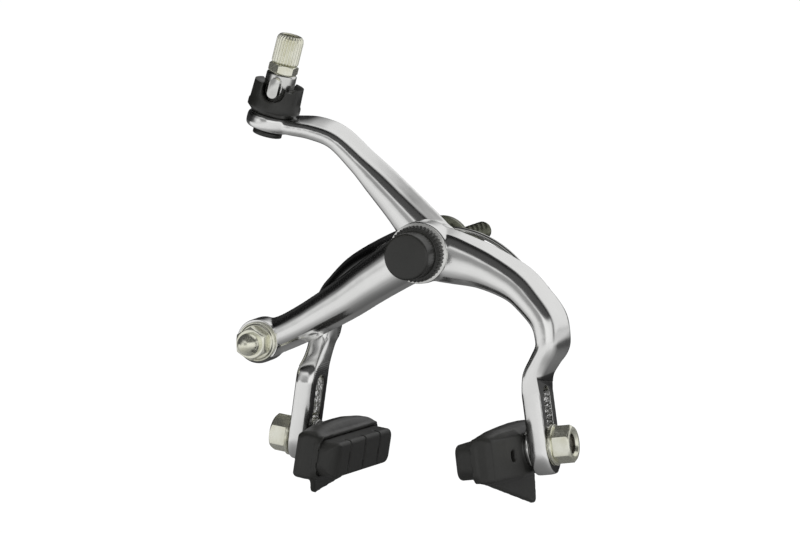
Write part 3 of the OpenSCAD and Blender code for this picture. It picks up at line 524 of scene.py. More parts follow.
SHOE_PITCH, SHOE_DROP = 2.8, 1.2


def at_slot(points, side, up=0.0):
    """From the slot's frame: x outwards, z up the slot. The left one is turned half round."""
    turn = 1 if side > 0 else -1
    lifted = np.asarray(points, float) + np.array([0, 0, up])
    return placed(
        lifted,
        (side * END_X, STUD_Y, -REACH),
        (side * math.cos(LEAN), 0, math.sin(LEAN)),
        (0, turn, 0),
        (-side * math.sin(LEAN), 0, math.cos(LEAN)),
    )


def at_stop(points, up=0.0):
    """From the cable stop's frame: z along the cable."""
    lifted = np.asarray(points, float) + np.array([0, 0, up])
    c, s = math.cos(STOP_LEAN), math.sin(STOP_LEAN)
    return placed(lifted, STOP, (c, 0, -s), (0, 1, 0), (s, 0, c))


def in_front(points, x=0.0, y=0.0, z=0.0):
    """From a frame whose height points to the front of the brake."""
    return placed(points, (x, y, z), **TO_FRONT)


def mix(a, b, share):
    return a + (b - a) * share


def end_point(side, up, out):
    """X and Z of a place in the slotted end's frame."""
    return [
        side * (END_X - up * math.sin(LEAN) + out * math.cos(LEAN)),
        -REACH + up * math.cos(LEAN) + out * math.sin(LEAN),
    ]


def end_row(side, up, half):
    """The forging's row across the slotted end, where it is twice half deep."""
    dome, corner = min(2, half), min(1.2, half * 0.6)
    return end_point(side, up, 0) + [END_T, STUD_Y - half, STUD_Y + half, 0, 0, dome, corner]


def slotted_bar(side, stations, steps=12):
    """Rows of an arm down to its slotted end: smooth to where the slot begins, then straight, then a round
    tip whose half-width is that of a circle."""
    upper = smooth_rows(stations + [end_row(side, SLOT_TRAVEL + 1.6, END_W / 2)], steps)
    angles = np.radians(np.arange(0, 79, 6.5))
    tip = [end_row(side, -END_W / 2 * math.sin(a), END_W / 2 * math.cos(a)) for a in angles]
    return np.vstack([upper, tip])


def rounded_pad(obj, side):
    """Rounds the block of a pad in its shoe's own frame. Seen on its brake face it is drawn in to a rectangle
    with round corners. Then its rim is drawn in along that outline's normal to a quarter circle, whose
    radius grows from the long edges to the two ends."""
    count = len(obj.data.vertices)
    metres = np.empty(count * 3)
    obj.data.vertices.foreach_get("co", metres)
    origin = at_slot([[0, 0, 0]], side, STUD_UP[side])[0]
    axes = at_slot(np.eye(3), side, STUD_UP[side]) - origin
    c, s = math.cos(math.radians(SHOE_PITCH)), -side * math.sin(math.radians(SHOE_PITCH))
    turn = np.array([[1, 0, 0], [0, c, -s], [0, s, c]])
    p = (metres.reshape(-1, 3) / MM - origin) @ axes.T @ turn + [0, 0, SHOE_DROP]
    block = p[:, 0] < HOLDER_LIP - 0.3
    corner, sign = 4.0, np.sign(p[:, 1:])
    past = np.abs(p[:, 1:]) - [PAD_L / 2 - corner, PAD_H / 2 - corner]
    beyond = np.maximum(past, 0)
    far = np.linalg.norm(beyond, axis=1)
    inside = np.stack([past[:, 0] >= past[:, 1], past[:, 0] < past[:, 1]], -1).astype(float)
    normal = np.where(far[:, None] > 0, beyond / np.maximum(far, 1e-9)[:, None], inside)
    depth = far + np.minimum(past.max(1), 0) - corner
    over = np.where(block, np.maximum(depth, 0), 0)
    radius = 1.3 + 1.5 * normal[:, 0] ** 2
    past_rim, past_face = depth - over + radius, BRAKE_FACE + radius - p[:, 0]
    far = np.hypot(past_rim, past_face)
    at_rim = block & (past_rim > 0) & (past_face > 0)
    share = np.where(at_rim, np.maximum(1 - radius / np.maximum(far, 1e-9), 0), 0)
    p[:, 0] += share * past_face
    p[:, 1:] -= (over + share * past_rim)[:, None] * normal * sign
    p = (p - [0, 0, SHOE_DROP]) @ turn.T @ axes + origin
    obj.data.vertices.foreach_set("co", (p * MM).ravel())
    obj.data.update()


def boss(side_profile, x, z, back):
    """A turned boss whose profile starts at back and grows to the front."""
    return shell(in_front(turned(side_profile, 128), x, back, z))


def pin(radius, back, front, x=0.0, z=0.0):
    """A plain round bar along Y, from back to front."""
    return shell(in_front(turned([[radius, 0.0], [radius, back - front]], 64), x, back, z))


def slot_cutter(side, name):
    """A long hole through the slotted end."""
    a = np.linspace(0, 2 * math.pi, 96, endpoint=False)
    height = SLOT_W / 2 * np.sin(a) + np.where(np.sin(a) >= 0, SLOT_TRAVEL, 0)
    ring = np.stack([np.zeros(96), SLOT_W / 2 * np.cos(a), height], -1)
    rings = np.stack([ring + [dx, 0, 0] for dx in (-END_T, END_T)])
    return model(name, shell(at_slot(rings, side)))


def seat_cutter(side, name):
    """The milled flat under the outer washers: a block whose top slants from the front down to the back."""
    top = SLOT_TRAVEL + SLOT_W / 2 + 1.4
    fall = side * END_W * math.tan(math.radians(11))
    low, inner, outer = -30, END_T / 2 - 0.05, 9
    rings = [
        [[outer, y, top + rise], [inner, y, top + rise], [inner, y, low], [outer, y, low]]
        for y, rise in ((-END_W, fall), (END_W, -fall))
    ]
    return model(name, shell(at_slot(np.array(rings, float), side)))


# ---------------------------------------------------------------- settings


def number(name, description, default, low, high, kind=bpy.props.FloatProperty, **more):
    return kind(name=name, description=description, default=default, min=low, max=high, **more)


class BrakeSizes(bpy.types.PropertyGroup):
    fillet_voxel: number("Fillet grid", "Grid that joins the forged bars, in millimetres", 0.36, 0.2, 1.0)
    fillet_passes: number(
        "Fillet softness", "How far the tumbling rounds the forgings' edges", 9, 0, 40, bpy.props.IntProperty
    )
    front_round: number("Front rounding", "Depth of the arms' domed front, in millimetres", 3.2, 2.0, 4.0)
    edge: number("Edge rounding", "Rounding of machined edges, in millimetres", 0.15, 0.02, 0.4)
    floor_drop: number("Floor", "Height of the floor below the bolt", -0.098, -0.3, -0.08, unit="LENGTH")


def colour_property(name, description, default):
    return bpy.props.FloatVectorProperty(
        name=name, description=description, subtype="COLOR", size=3, min=0, max=1, default=default
    )


class BrakeColours(bpy.types.PropertyGroup):
    alloy: colour_property("Alloy", "Polished aluminium of the arms", (0.86, 0.86, 0.85))
    zinc_light: colour_property("Zinc, light", "Pale parts of the zinc plate", (0.88, 0.88, 0.78))
    zinc_dark: colour_property("Zinc, dark", "Darker clouds of the zinc plate", (0.76, 0.75, 0.61))
    olive_light: colour_property("Dark zinc, light", "Pale parts of the dark plate", (0.27, 0.28, 0.22))
    olive_dark: colour_property("Dark zinc, dark", "Darker clouds of the dark plate", (0.13, 0.135, 0.10))
    steel: colour_property("Steel", "Bright steel", (0.74, 0.74, 0.72))
    plastic: colour_property("Plastic", "Black mouldings", (0.0135, 0.0135, 0.012))
    rubber: colour_property("Rubber", "Brake pads", (0.0165, 0.0165, 0.015))
    backdrop: colour_property("Backdrop", "What the camera sees behind the brake", (1.0, 1.0, 1.0))


def finishes():
    """Every finish of the brake, by the record's slot."""
    c = bpy.context.scene.brake_colours
    dim = lambda colour, share: [v * share for v in colour]

    def black(name, colour, light, dark, *rest):
        return moulded(name, dim(colour, light), dim(colour, dark), *rest)

    return {
        "polished_alloy": polished_alloy(c.alloy),
        "pale_zinc": plated("pale_zinc", c.zinc_light, c.zinc_dark, 0.22, 0.92),
        "olive_steel": plated("olive_steel", c.olive_light, c.olive_dark, 0.30),
        "bright_steel": plated("bright_steel", c.steel, dim(c.steel, 0.86), 0.15),
        "black_plastic": black("black_plastic", c.plastic, 1.25, 0.8, 0.34, 900.0, 0.00002),
        "shoe_plastic": black("shoe_plastic", c.plastic, 1.3, 0.85, 0.42, 700.0, 0.00003),
        "pad_rubber": black("pad_rubber", c.rubber, 1.15, 0.8, 0.5, 800.0, 0.00004),
    }


# ---------------------------------------------------------------- pieces


class BRAKE_OT_finishes(bpy.types.Operator):
    """Make the finishes and give one to every CAD node"""

    bl_idname = "brake.finishes"
    bl_label = "Finishes"

    def execute(self, context):
        FINISH.update(finishes())
        slots = {part["node"]: part["material_slot"] for part in frame["record"]["subparts"]}
        for name, node in frame["nodes"].items():
            node.data.materials.clear()
            node.data.materials.append(FINISH[slots[name]])
        return {"FINISHED"}


class BRAKE_OT_front_arm(bpy.types.Operator):
    """Front arm: straight bar to the cable anchor and arc down to the right shoe"""

    bl_idname = "brake.front_arm"
    bl_label = "Front arm"

    def execute(self, context):
        s = context.scene.brake_sizes
        end_front, end_back = STUD_Y - END_W / 2, STUD_Y + END_W / 2
        along = unit(ANCHOR)
        front = lambda t: mix(FRONT_FRONT, end_front, t)
        back = lambda t: mix(FRONT_BACK, end_back, t)

        def bar(share, sag, width):
            x, z = share * ANCHOR[0] - sag * along[1], share * ANCHOR[1] + sag * along[0]
            return [x, z, width, front(0), back(0), 1.2, 1.2, s.front_round, 0.8]

        shoulder = end_point(1, 33.95, 6.5)

        def arc(fx, fz, width, f, b, corner=0.8):
            return [fx * shoulder[0], fz * shoulder[1], width, f, b, 1.2, 0.8, s.front_round, corner]

        rows = [
            bar(1, 0, 12),
            bar(0.9, 1.2, 11),
            bar(0.78, 1.6, 11.4),
            bar(0.64, 1.5, 12.2),
            bar(0.49, 1.1, 13.2),
            bar(0.36, 0.35, 14),
            bar(0.235, -0.15, 14.7),
            bar(0.1, -0.5, 15.8),
            [0.6, -0.2, 16.8, front(0), back(0), 1.2, 1.2, s.front_round, 0.8],
            arc(0.14, 0.045, 16.9, front(0), back(0)),
            arc(0.256, 0.085, 16.1, front(0), back(0)),
            arc(0.483, 0.183, 13.5, front(0.15), back(0.25)),
            arc(0.718, 0.358, 11.5, front(0.4), back(0.6), 1.3),
            arc(0.853, 0.552, 10.4, front(0.6), back(0.85), 2.2),
            arc(0.966, 0.779, 9.8, front(0.8), back(1), 2.4),
            arc(1, 1, 9, front(0.95), back(1), 2.0),
            end_point(1, 30.8, 5.8) + [8.2, end_front, end_back, 1, 0.6, s.front_round, 0.8],
            end_point(1, 27.4, 3.4) + [7.1, end_front, end_back, 0.6, 0.4, 2.8, 0.9],
            end_point(1, 23.3, 1) + [END_T + 0.2, end_front, end_back, 0, 0, 2.2, 1.1],
        ]
        depth = FRONT_BACK - FRONT_FRONT
        hub = filleted([[0, 0], [9.4, 0], [9.4, depth], [0, depth]], [0, 0.4, 1.5, 0])
        lug = filleted([[0, 0], [6.8, 0], [6.8, depth], [0, depth]], [0, 0.6, 1.0, 0])
        piece = model(
            "front_arm_forging",
            shell(forging(slotted_bar(1, rows))),
            boss(hub, 0, 0, FRONT_BACK),
            boss(lug, ANCHOR[0], ANCHOR[1], FRONT_BACK),
            pin(PEG_R, SPRING_Y + SPRING_R, FRONT_BACK - 1, *peg_place(1)),
        )
        fused(piece, s.fillet_voxel, s.fillet_passes)
        cutters = [
            seat_cutter(1, "seat"),
            slot_cutter(1, "slot"),
            model("bore", pin(BORE_R, 0, THROUGH)),
            model("anchor_hole", pin(2.65, 0, THROUGH, *ANCHOR)),
            model("anchor_seat", pin(6.6, FRONT_FRONT + ANCHOR_SINK, THROUGH, *ANCHOR)),
        ]
        carved(piece, cutters)
        dress(piece, "front_arm", "front_arm", "polished_alloy")
        return {"FINISHED"}


def leg_point(side, angle, out=0.0):
    """Place on the bent leg of the spring: an arc of the leg's radius below the run over the bolt."""
    radius = 31.0 if side > 0 else 29.0
    return (
        side * (3.0 + (radius + out) * np.sin(angle)),
        SPRING_Z - radius + (radius + out) * np.cos(angle),
    )


def peg_place(side):
    """Where an arm's peg stands, just outside the leg of the spring."""
    return leg_point(side, math.radians(PEG_ANGLE), SPRING_R + PEG_R + 0.15)


class BRAKE_OT_rear_arm(bpy.types.Operator):
    """Rear arm: lever up to the cable stop and leg down to the left shoe"""

    bl_idname = "brake.rear_arm"
    bl_label = "Rear arm"

    def execute(self, context):
        s = context.scene.brake_sizes
        end_front, end_back = STUD_Y - END_W / 2, STUD_Y + END_W / 2
        mid = TAB_FOOT + TAB_T / 2
        tab = [STOP[0] + mid * math.sin(STOP_LEAN), STOP[2] + mid * math.cos(STOP_LEAN)]

        def lever(fx, fz, width, t, outer, inner, depth):
            front, back = mix(REAR_FRONT, STOP[1] - TAB_R, t), mix(REAR_BACK, STOP[1] + TAB_R, t)
            return [fx * tab[0], fz * tab[1], width, front, back, outer, inner, depth, 0.8]

        deep = s.front_round
        lever_rows = [
            lever(1, 1, TAB_T - 0.4, 0.6, 0.4, 0.4, 2),
            lever(0.93, 0.975, TAB_T, 0.6, 0.5, 0.4, 2),
            lever(0.865, 0.958, 6, 0.5, 0.8, 0.6, 2.4),
            lever(0.737, 0.936, 7.4, 0.25, 1.6, 0.7, 3),
            lever(0.6, 0.862, 8, 0.08, 1.7, 0.8, deep),
            lever(0.455, 0.678, 8.8, 0, 1.6, 0.8, deep),
            lever(0.344, 0.526, 10.4, 0, 1.8, 0.8, deep),
            lever(0.193, 0.306, 12.4, 0, 2, 1, deep),
            lever(0.06, 0.09, 15, 0, 2, 1.4, deep),
            lever(-0.02, -0.04, 15.4, 0, 2, 1.4, deep),
        ]
        shoulder = end_point(-1, 35.1, 1.6)
        front = lambda t: mix(REAR_FRONT, end_front, t)
        back = lambda t: mix(REAR_BACK, end_back, t)

        def leg(fx, fz, width):
            return [fx * shoulder[0], fz * shoulder[1], width, front(0), back(0), 1.4, 0.8, deep, 0.8]

        leg_rows = [
            end_point(-1, 21.9, 0.3) + [END_T + 0.3, front(0.88), back(0.9), 0, 0, 2.2, 1.1],
            end_point(-1, 25.0, 0.8) + [7.0, front(0.55), back(0.6), 0.6, 0.4, 2.6, 0.9],
            end_point(-1, 28.2, 1.4) + [8.0, front(0.22), back(0.25), 1, 0.6, 3.0, 0.8],
            end_point(-1, 31.1, 1.6) + [9.2, front(0.04), back(0), 1.2, 0.8, deep, 0.8],
            leg(1, 1, 10),
            leg(0.955, 0.757, 10.2),
            leg(0.871, 0.6, 10.6),
            leg(0.702, 0.37, 11.4),
            leg(0.444, 0.17, 12.9),
            leg(0.2, 0.05, 15),
            leg(0, 0, 15.4),
        ]
        # the outer side lies to the left of the path, so this leg is drawn upwards
        leg_rows = slotted_bar(-1, leg_rows[::-1])[::-1]
        depth = REAR_BACK - REAR_FRONT
        hub = filleted([[0, 0], [7.9, 0], [7.9, depth], [0, depth]], [0, 0.4, 1.0, 0])
        disc = filleted([[0, 0], [TAB_R, 0], [TAB_R, TAB_T], [0, TAB_T]], [0, 1.8, 1.8, 0], 9)
        piece = model(
            "rear_arm_forging",
            shell(forging(smooth_rows(lever_rows, 12))),
            shell(forging(leg_rows)),
            boss(hub, 0, 0, REAR_BACK),
            shell(at_stop(turned(disc, 128), TAB_FOOT)),
            pin(PEG_R, SPRING_Y + SPRING_R, REAR_BACK - 1, *peg_place(-1)),
        )
        fused(piece, s.fillet_voxel, s.fillet_passes)
        above = filleted([[0, 0], [TAB_R + 1, 0], [TAB_R + 1, 5], [0, 5]], 0)
        cutters = [
            seat_cutter(-1, "seat"),
            slot_cutter(-1, "slot"),
            model("bore", pin(BORE_R, 0, THROUGH)),
            model("stop_hole", shell(at_stop(turned([[3.37, -2], [3.37, 12]], 64)))),
            model("stop_seat", shell(at_stop(turned(above, 96), CUP_BASE))),
        ]
        carved(piece, cutters)
        dress(piece, "rear_arm", "rear_arm", "polished_alloy")
        return {"FINISHED"}


class BRAKE_OT_stack(bpy.types.Operator):
    """Centre bolt with its washers, bracket and nuts"""

    bl_idname = "brake.stack"
    bl_label = "Centre stack"

    def execute(self, context):
        width = context.scene.brake_sizes.edge
        pitch, depth = 1.0, 0.30

        def thread(radius, angle, height):
            """A ridge that climbs one pitch a turn, from 10 mm behind the crown's face to the bolt's end."""
            wave = np.abs(((height - angle * pitch / (2 * math.pi)) / pitch) % 1.0 - 0.5) * 2
            ends = np.clip((height - 10) / 1.0, 0, 1) * (radius > 2.8)
            return radius - depth * (1 - wave) * ends

        line = filleted([[0, 0], [3.0, 0], [3.0, 34.9], [2.4, 35.5], [0, 35.5]], [0, 0.1, 0.3, 0.3, 0])
        tail = turned(dense(line, 0.16), 96, thread)
        tail = shell(placed(tail, (0, 0, 0), (1, 0, 0), (0, 0, -1), (0, 1, 0)))
        line = filleted([[0, -1], [3.0, -1], [3.0, 29.5], [2.2, 30.3], [0, 30.3]], 0.2)
        front = shell(in_front(turned(line, 64)))
        collar = shell(in_front(turned(filleted([[0, 0], [4.2, 0], [4.2, 4.8], [0, 4.8]], 0.05), 64)))
        bolt = model("centre_bolt_threaded", tail, front, collar)
        dress(bolt, "centre_bolt", "mounting", "olive_steel")
        for node in ("mounting_washer", "spring_bracket"):
            dress(eased(node, width), node, "mounting", "olive_steel")
        for node in ("rear_pivot_washer", "middle_pivot_washer", "front_pivot_washer"):
            dress(eased(node, 0.1), node, "mounting", "bright_steel")
        for node in ("pivot_nut", "pivot_lock_nut"):
            dress(eased(node, width), node, "mounting", "pale_zinc")
        return {"FINISHED"}


class BRAKE_OT_spring(bpy.types.Operator):
    """Return spring: one wire over the bolt with a bent leg to each arm"""

    bl_idname = "brake.spring"
    bl_label = "Return spring"

    def execute(self, context):
        a = np.radians(np.linspace(0, 70, 60))
        left, right = leg_point(-1, a[::-1]), leg_point(1, a)
        x, z = np.concatenate([left[0], right[0]]), np.concatenate([left[1], right[1]])
        path = np.stack([x, np.full_like(x, SPRING_Y), z], -1)
        radius = np.full(len(path), SPRING_R)
        radius[[0, -1]] = 0.62
        piece = model("return_spring_wire", shell(tube(path, radius, 24)), sharp=60)
        piece.data.materials.append(FINISH["bright_steel"])
        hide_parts("return_spring")
        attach(piece, "mounting")
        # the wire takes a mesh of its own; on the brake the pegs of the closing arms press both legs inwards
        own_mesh(piece)
        return {"FINISHED"}


class BRAKE_OT_cap(bpy.types.Operator):
    """Black cap over the pivot nuts, with a knurled ring"""

    bl_idname = "brake.cap"
    bl_label = "Centre cap"

    def execute(self, context):
        ridges = 44

        def knurl(radius, angle, height):
            """Ridges round the ring only: the radius falls by a wave of the angle to a power."""
            ring = np.clip((radius - 7.6) / 0.5, 0, 1)
            return radius - 0.45 * ring * (0.5 - 0.5 * np.cos(angle * ridges)) ** 0.8

        line = filleted(
            [[0, 7.4], [5.8, 7.4], [5.8, 0], [8.5, 0], [8.5, 3.0], [7.0, 3.1], [7.0, 10.2], [0, 10.2]],
            [0, 0.2, 0.1, 0.2, 0.5, 0.3, 1.0, 0],
        )
        piece = model("centre_cap_moulding", shell(in_front(turned(line, 528, knurl), 0, -23.2, 0)))
        dress(piece, "centre_cap", "mounting", "black_plastic")
        return {"FINISHED"}


class BRAKE_OT_anchor(bpy.types.Operator):
    """Cable anchor: bolt, washer and domed nut"""

    bl_idname = "brake.anchor"
    bl_label = "Cable anchor"

    def execute(self, context):
        width = context.scene.brake_sizes.edge
        for node in ("anchor_bolt", "anchor_washer"):
            dress(eased(node, width), node, "front_arm", "pale_zinc")
        hexagonal = filleted(
            [[0, 6.3], [2.53, 6.3], [2.53, 0], [4.5, 0], [5.3, 0.5], [5.3, 4.0], [4.3, 4.6], [0, 4.61]],
            [0, 0.1, 0.1, 0.1, 0.1, 0.1, 0.1, 0],
        )
        a = np.linspace(0, math.pi / 2, 24)
        dome = np.stack([3.5 * np.cos(a), 5.6 + 3.5 * np.sin(a)], -1)
        dome = np.vstack([[[0, 4.4], [3.5, 4.4]], dome])
        hexagonal = turned(dense(hexagonal, 0.3), 240, hexagon(9.0, 0.05, 4.2))
        seat = ANCHOR[0], FRONT_FRONT + ANCHOR_SINK - ANCHOR_WASHER_T, ANCHOR[1]
        skins = [shell(in_front(part, *seat)) for part in (hexagonal, turned(dome, 96))]
        dress(model("anchor_nut_domed", *skins), "anchor_nut", "front_arm", "pale_zinc")
        return {"FINISHED"}


class BRAKE_OT_stop(bpy.types.Operator):
    """Cable stop: release cup, seat, lock nut and fluted barrel"""

    bl_idname = "brake.stop"
    bl_label = "Cable stop"

    def execute(self, context):
        for node in ("release_cup", "retaining_ring"):
            dress(eased(node, 0.25), node, "rear_arm", "black_plastic")
        dress(eased("cable_seat", 0.2), "cable_seat", "cable_seat", "bright_steel")
        line = filleted(
            [[3.03, 1.4], [3.03, 0], [3.9, 0], [4.7, 0.45], [4.7, 2.35], [3.9, 2.8], [3.03, 2.8], [3.03, 1.4]],
            [0, 0.1, 0.1, 0.1, 0.1, 0.1, 0.1, 0],
        )
        rings = turned(dense(line, 0.25), 240, hexagon(8.0, 0.05, 3.4))
        nut = model("barrel_lock_nut_hex", shell(at_stop(rings, SEAT_TOP), "loop"))
        dress(nut, "barrel_lock_nut", "lock_nut", "pale_zinc")

        def flutes(radius, angle, height):
            """Rounded ridges on the barrel's head: the radius falls by a wave of the angle to a power."""
            body = np.clip((radius - 3.3) / 0.5, 0, 1)
            return radius - 0.42 * body * (0.5 - 0.5 * np.cos(angle * 24)) ** 1.3

        stem = [[1.1, -9.0], [3.0, -9.0], [3.0, 0]]
        head = [[3.7, 0], [4.15, 0.45], [4.15, 7.6], [3.85, 8.4], [3.3, 8.9]]
        hole = [[2.6, 8.9], [2.6, 2.4], [1.1, 2.4], [1.1, -9.0]]
        line = filleted(stem + head + hole, [0, 0.1, 0.1, 0.15, 0.2, 0.4, 0.4, 0.15, 0.25, 0.1, 0.1, 0])
        rings = turned(dense(line, 0.35), 384, flutes)
        barrel = model("adjusting_barrel_fluted", shell(at_stop(rings, BARREL_BASE), "loop"))
        dress(barrel, "adjusting_barrel", "barrel", "pale_zinc")
        return {"FINISHED"}


class BRAKE_OT_shoes(bpy.types.Operator):
    """Moulded shoe holders and rubber pads"""

    bl_idname = "brake.shoes"
    bl_label = "Brake shoes"

    def execute(self, context):
        for side in ("left", "right"):
            holder = fused(copy_of(side + "_shoe_holder", side + "_holder_moulding"), 0.33, 8)
            dress(holder, side + "_shoe_holder", side + "_shoe", "shoe_plastic")
            pad = fused(copy_of(side + "_brake_pad", side + "_pad_rubber"), 0.3, 5)
            rounded_pad(pad, 1 if side == "right" else -1)
            dress(pad, side + "_brake_pad", side + "_shoe", "pad_rubber")
        return {"FINISHED"}


class BRAKE_OT_clamps(bpy.types.Operator):
    """Studs, washers and nuts that clamp the shoes"""

    bl_idname = "brake.clamps"
    bl_label = "Shoe clamps"

    def execute(self, context):
        width = context.scene.brake_sizes.edge
        outside = [[3.03, 2.0], [3.03, 0], [5.0, 0], [5.85, 0.35], [5.85, 4.75], [4.9, 5.5], [3.85, 5.5]]
        line = filleted(outside + [[3.03, 4.7], [3.03, 2.0]], [0, 0.1, 0.15, 0.1, 0.2, 0.2, 0.15, 0.1, 0])
        rings = turned(dense(line, 0.3), 240, hexagon(10.0, 0.06, 4.4, math.pi / 6)) + [0, 0, END_T / 2 + 1.1]
        rings = placed(rings, (0, 0, 0), (0, 0, -1), (0, 1, 0), (1, 0, 0))
        for side, sign in (("left", -1), ("right", 1)):
            nut = model(side + "_shoe_nut_hex", shell(at_slot(rings, sign, STUD_UP[sign]), "loop"))
            dress(nut, side + "_shoe_nut", side + "_shoe", "pale_zinc")
            dress(eased(side + "_shoe_stud", width), side + "_shoe_stud", side + "_shoe", "pale_zinc")
            for node in ("_inner_washer", "_domed_washer", "_cupped_washer"):
                slot = "bright_steel" if node == "_inner_washer" else "pale_zinc"
                dress(eased(side + node, 0.12), side + node, side + "_shoe_washers", slot)
        return {"FINISHED"}


# ---------------------------------------------------------------- studio


WIDTH, HEIGHT = 800, 533
BOLT_PIXEL = 444, 244.3
SENSOR = 36.0
TO_CAMERA = 0.347, -0.929, 0.13
FLOOR_HALF = 3


def lamp(name, place, size, power):
    """A soft box that faces the bolt and lights matt surfaces, but isn't mirrored."""
    data = bpy.data.lights.new(name, "AREA")
    data.shape = "RECTANGLE"
    data.size, data.size_y = size
    data.energy = power
    obj = bpy.data.objects.new(name, data)
    bpy.context.scene.collection.objects.link(obj)
    way = unit(-np.array(place, float))
    side = unit(np.cross(way, [0, 0, 1]) + [1e-6, 0, 0])
    axes = Matrix(np.array([side, np.cross(side, way), -way]).T.tolist()).to_4x4()
    obj.matrix_world = Matrix.Translation(place) @ axes
    obj.visible_glossy = False


def ray_kinds(p):
    """1 where the camera looks straight at the surface, and 1 where it is mirrored or seen through glass."""
    kinds = "Is Camera Ray", "Is Glossy Ray", "Is Transmission Ray"
    camera, shiny, clear = (p.node("ShaderNodeLightPath", {}, {}, kind) for kind in kinds)
    return camera, (shiny + clear).clamped()


def flat(name, corners, material):
    """A square that belongs to the studio."""
    mesh = bpy.data.meshes.new(name)
    mesh.from_pydata(corners, [], [(0, 1, 2, 3)])
    mesh.materials.append(material)
    obj = bpy.data.objects.new(name, mesh)
    bpy.context.scene.collection.objects.link(obj)


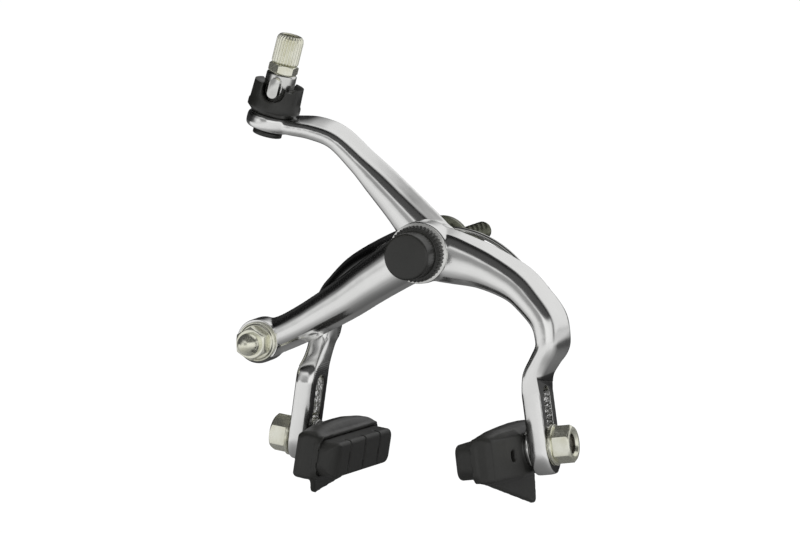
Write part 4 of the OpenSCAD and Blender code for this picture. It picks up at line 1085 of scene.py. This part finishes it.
class BRAKE_OT_stage(bpy.types.Operator):
    """Floor, soft lights, white surroundings and the camera"""

    bl_idname = "brake.stage"
    bl_label = "Studio"

    def execute(self, context):
        scene = context.scene
        colours, sizes = scene.brake_colours, scene.brake_sizes
        scene.view_settings.view_transform = "Standard"

        material, p = finish("floor")
        camera, mirrored = ray_kinds(p)
        matt = p.node("ShaderNodeBsdfDiffuse", {}, {"Color": (0.8, 0.8, 0.8, 1)})
        white = p.node("ShaderNodeEmission", {}, {"Color": rgba(colours.backdrop), "Strength": 1.1})
        seen = p.node("ShaderNodeMixShader", {}, {0: (camera * 0.86).clamped(), 1: matt, 2: white})
        # for mirrored rays the floor glows: a painted reflection, darkest round the brake's foot as a painted
        # shadow
        here = p.node("ShaderNodeTexCoord", {}, {}, "Object")
        away = p.node("ShaderNodeVectorMath", {"operation": "LENGTH"}, {0: here}, "Value")
        tone = p.ramp(away * 0.5, [(0.04, 0.06), (0.075, 0.40), (0.14, 0.80), (0.40, 0.90), (0.9, 0.7)])
        # painted shade behind the brake, where the silhouettes mirror it, but for its right side
        far, right = here.part("Y").above(-0.02, 0.2), here.part("X").above(0.25, 0.2)
        tone = tone * (1.0 - 0.9 * far * (1.0 - 0.8 * right))
        mirror = p.node("ShaderNodeEmission", {}, {"Color": tone, "Strength": 1.0})
        surface = p.node("ShaderNodeMixShader", {}, {0: mirrored, 1: seen, 2: mirror})
        p.node("ShaderNodeOutputMaterial", {}, {"Surface": surface})
        square = ((-1, -1), (1, -1), (1, 1), (-1, 1))
        flat("floor", [(FLOOR_HALF * x, FLOOR_HALF * y, sizes.floor_drop) for x, y in square], material)

        world = bpy.data.worlds.new("studio")
        scene.world = world
        world.use_nodes = True
        p = Paint(world.node_tree)
        camera, mirrored = ray_kinds(p)
        seen = p.node("ShaderNodeBackground", {}, {"Color": rgba(colours.backdrop), "Strength": 1.0})
        room = p.node("ShaderNodeBackground", {}, {"Color": (0.98, 0.99, 1.0, 1), "Strength": 0.55})
        way = p.node("ShaderNodeTexCoord", {}, {}, "Generated")
        x, y, z = (way.part(axis) for axis in "XYZ")
        ahead = x * TO_CAMERA[0] + y * TO_CAMERA[1] + z * TO_CAMERA[2]
        front = p.ramp(ahead * 0.5 + 0.5, [(0.42, 0.03), (0.55, 0.16), (0.68, 0.85), (1.0, 0.98)])
        # a bright wall behind and above lights the sides of the arms
        behind = (z + 0.25 * x.above(0.35, 0.2)).above(0.10, 0.16) * (1.0 - z.above(0.84, 0.10))
        behind = behind * x.above(-0.32, 0.3) * y.above(0.26, 0.22)
        # darker in front: round the camera, at the upper left and overhead
        person = (y * -0.96 - x * 0.20 + z * 0.18).above(0.925, 0.055)
        upper_left = z.above(0.08, 0.25) * (1.0 - x.above(-0.75, 0.5))
        over = (z + 0.2 * x.above(-0.15, 0.2)).above(0.55, 0.16)
        front = front * (1.0 - 0.92 * over) * (1.0 - 0.65 * person) * (1.0 - 0.75 * upper_left)
        level = front.math("MAXIMUM", behind * 0.84)
        mirror = p.node("ShaderNodeBackground", {}, {"Color": level, "Strength": 1.0})
        inner = p.node("ShaderNodeMixShader", {}, {0: mirrored, 1: room, 2: mirror})
        outer = p.node("ShaderNodeMixShader", {}, {0: camera, 1: inner, 2: seen})
        p.node("ShaderNodeOutputWorld", {}, {"Surface": outer})

        lamp("top_box", (-0.05, -0.20, 0.75), (0.8, 0.5), 3.6)
        lamp("left_box", (-0.55, -0.65, 0.25), (0.3, 0.8), 1.6)
        lamp("right_box", (0.65, -0.45, 0.30), (0.35, 0.6), 1.4)

        eye = bpy.data.cameras.new("camera")
        camera = bpy.data.objects.new("camera", eye)
        scene.collection.objects.link(camera)
        turn, rise, distance, scale = math.radians(20.5), math.radians(7.5), 1.5, 3.3
        right = np.array([math.cos(turn), math.sin(turn), 0])
        way = np.array([-math.sin(turn) * math.cos(rise), math.cos(turn) * math.cos(rise), -math.sin(rise)])
        up = np.cross(right, way)
        aim = -(BOLT_PIXEL[0] - WIDTH / 2) * right + (BOLT_PIXEL[1] - HEIGHT / 2) * up
        axes = Matrix(np.array([right, up, -way]).T.tolist()).to_4x4()
        camera.matrix_world = Matrix.Translation((aim / scale * MM - distance * way).tolist()) @ axes
        eye.sensor_fit = "HORIZONTAL"
        eye.sensor_width = SENSOR
        eye.lens = SENSOR * scale * distance / MM / WIDTH
        eye.clip_start, eye.clip_end = 0.05, 20.0
        scene.camera = camera
        return {"FINISHED"}


class BRAKE_PT_panel(bpy.types.Panel):
    """Lists the brake's pieces and settings"""

    bl_idname = "BRAKE_PT_panel"
    bl_label = "Caliper brake"
    bl_space_type = "VIEW_3D"
    bl_region_type = "UI"
    bl_category = "Brake"

    def draw(self, context):
        for group in (context.scene.brake_sizes, context.scene.brake_colours):
            for name in group.__annotations__:
                self.layout.prop(group, name)
        for operator in PIECES:
            self.layout.operator(operator.bl_idname)


PIECES = (
    BRAKE_OT_finishes,
    BRAKE_OT_front_arm,
    BRAKE_OT_rear_arm,
    BRAKE_OT_stack,
    BRAKE_OT_spring,
    BRAKE_OT_cap,
    BRAKE_OT_anchor,
    BRAKE_OT_stop,
    BRAKE_OT_shoes,
    BRAKE_OT_clamps,
    BRAKE_OT_stage,
)
CLASSES = (BrakeSizes, BrakeColours) + PIECES + (BRAKE_PT_panel,)


def register():
    for cls in CLASSES:
        bpy.utils.register_class(cls)
    bpy.types.Scene.brake_sizes = bpy.props.PointerProperty(type=BrakeSizes)
    bpy.types.Scene.brake_colours = bpy.props.PointerProperty(type=BrakeColours)


def unregister():
    del bpy.types.Scene.brake_colours
    del bpy.types.Scene.brake_sizes
    for cls in reversed(CLASSES):
        bpy.utils.unregister_class(cls)


def main():
    register()
    for operator in PIECES:
        name = operator.bl_idname.split(".")[1]
        getattr(bpy.ops.brake, name)()


if __name__ == "__main__":
    main()
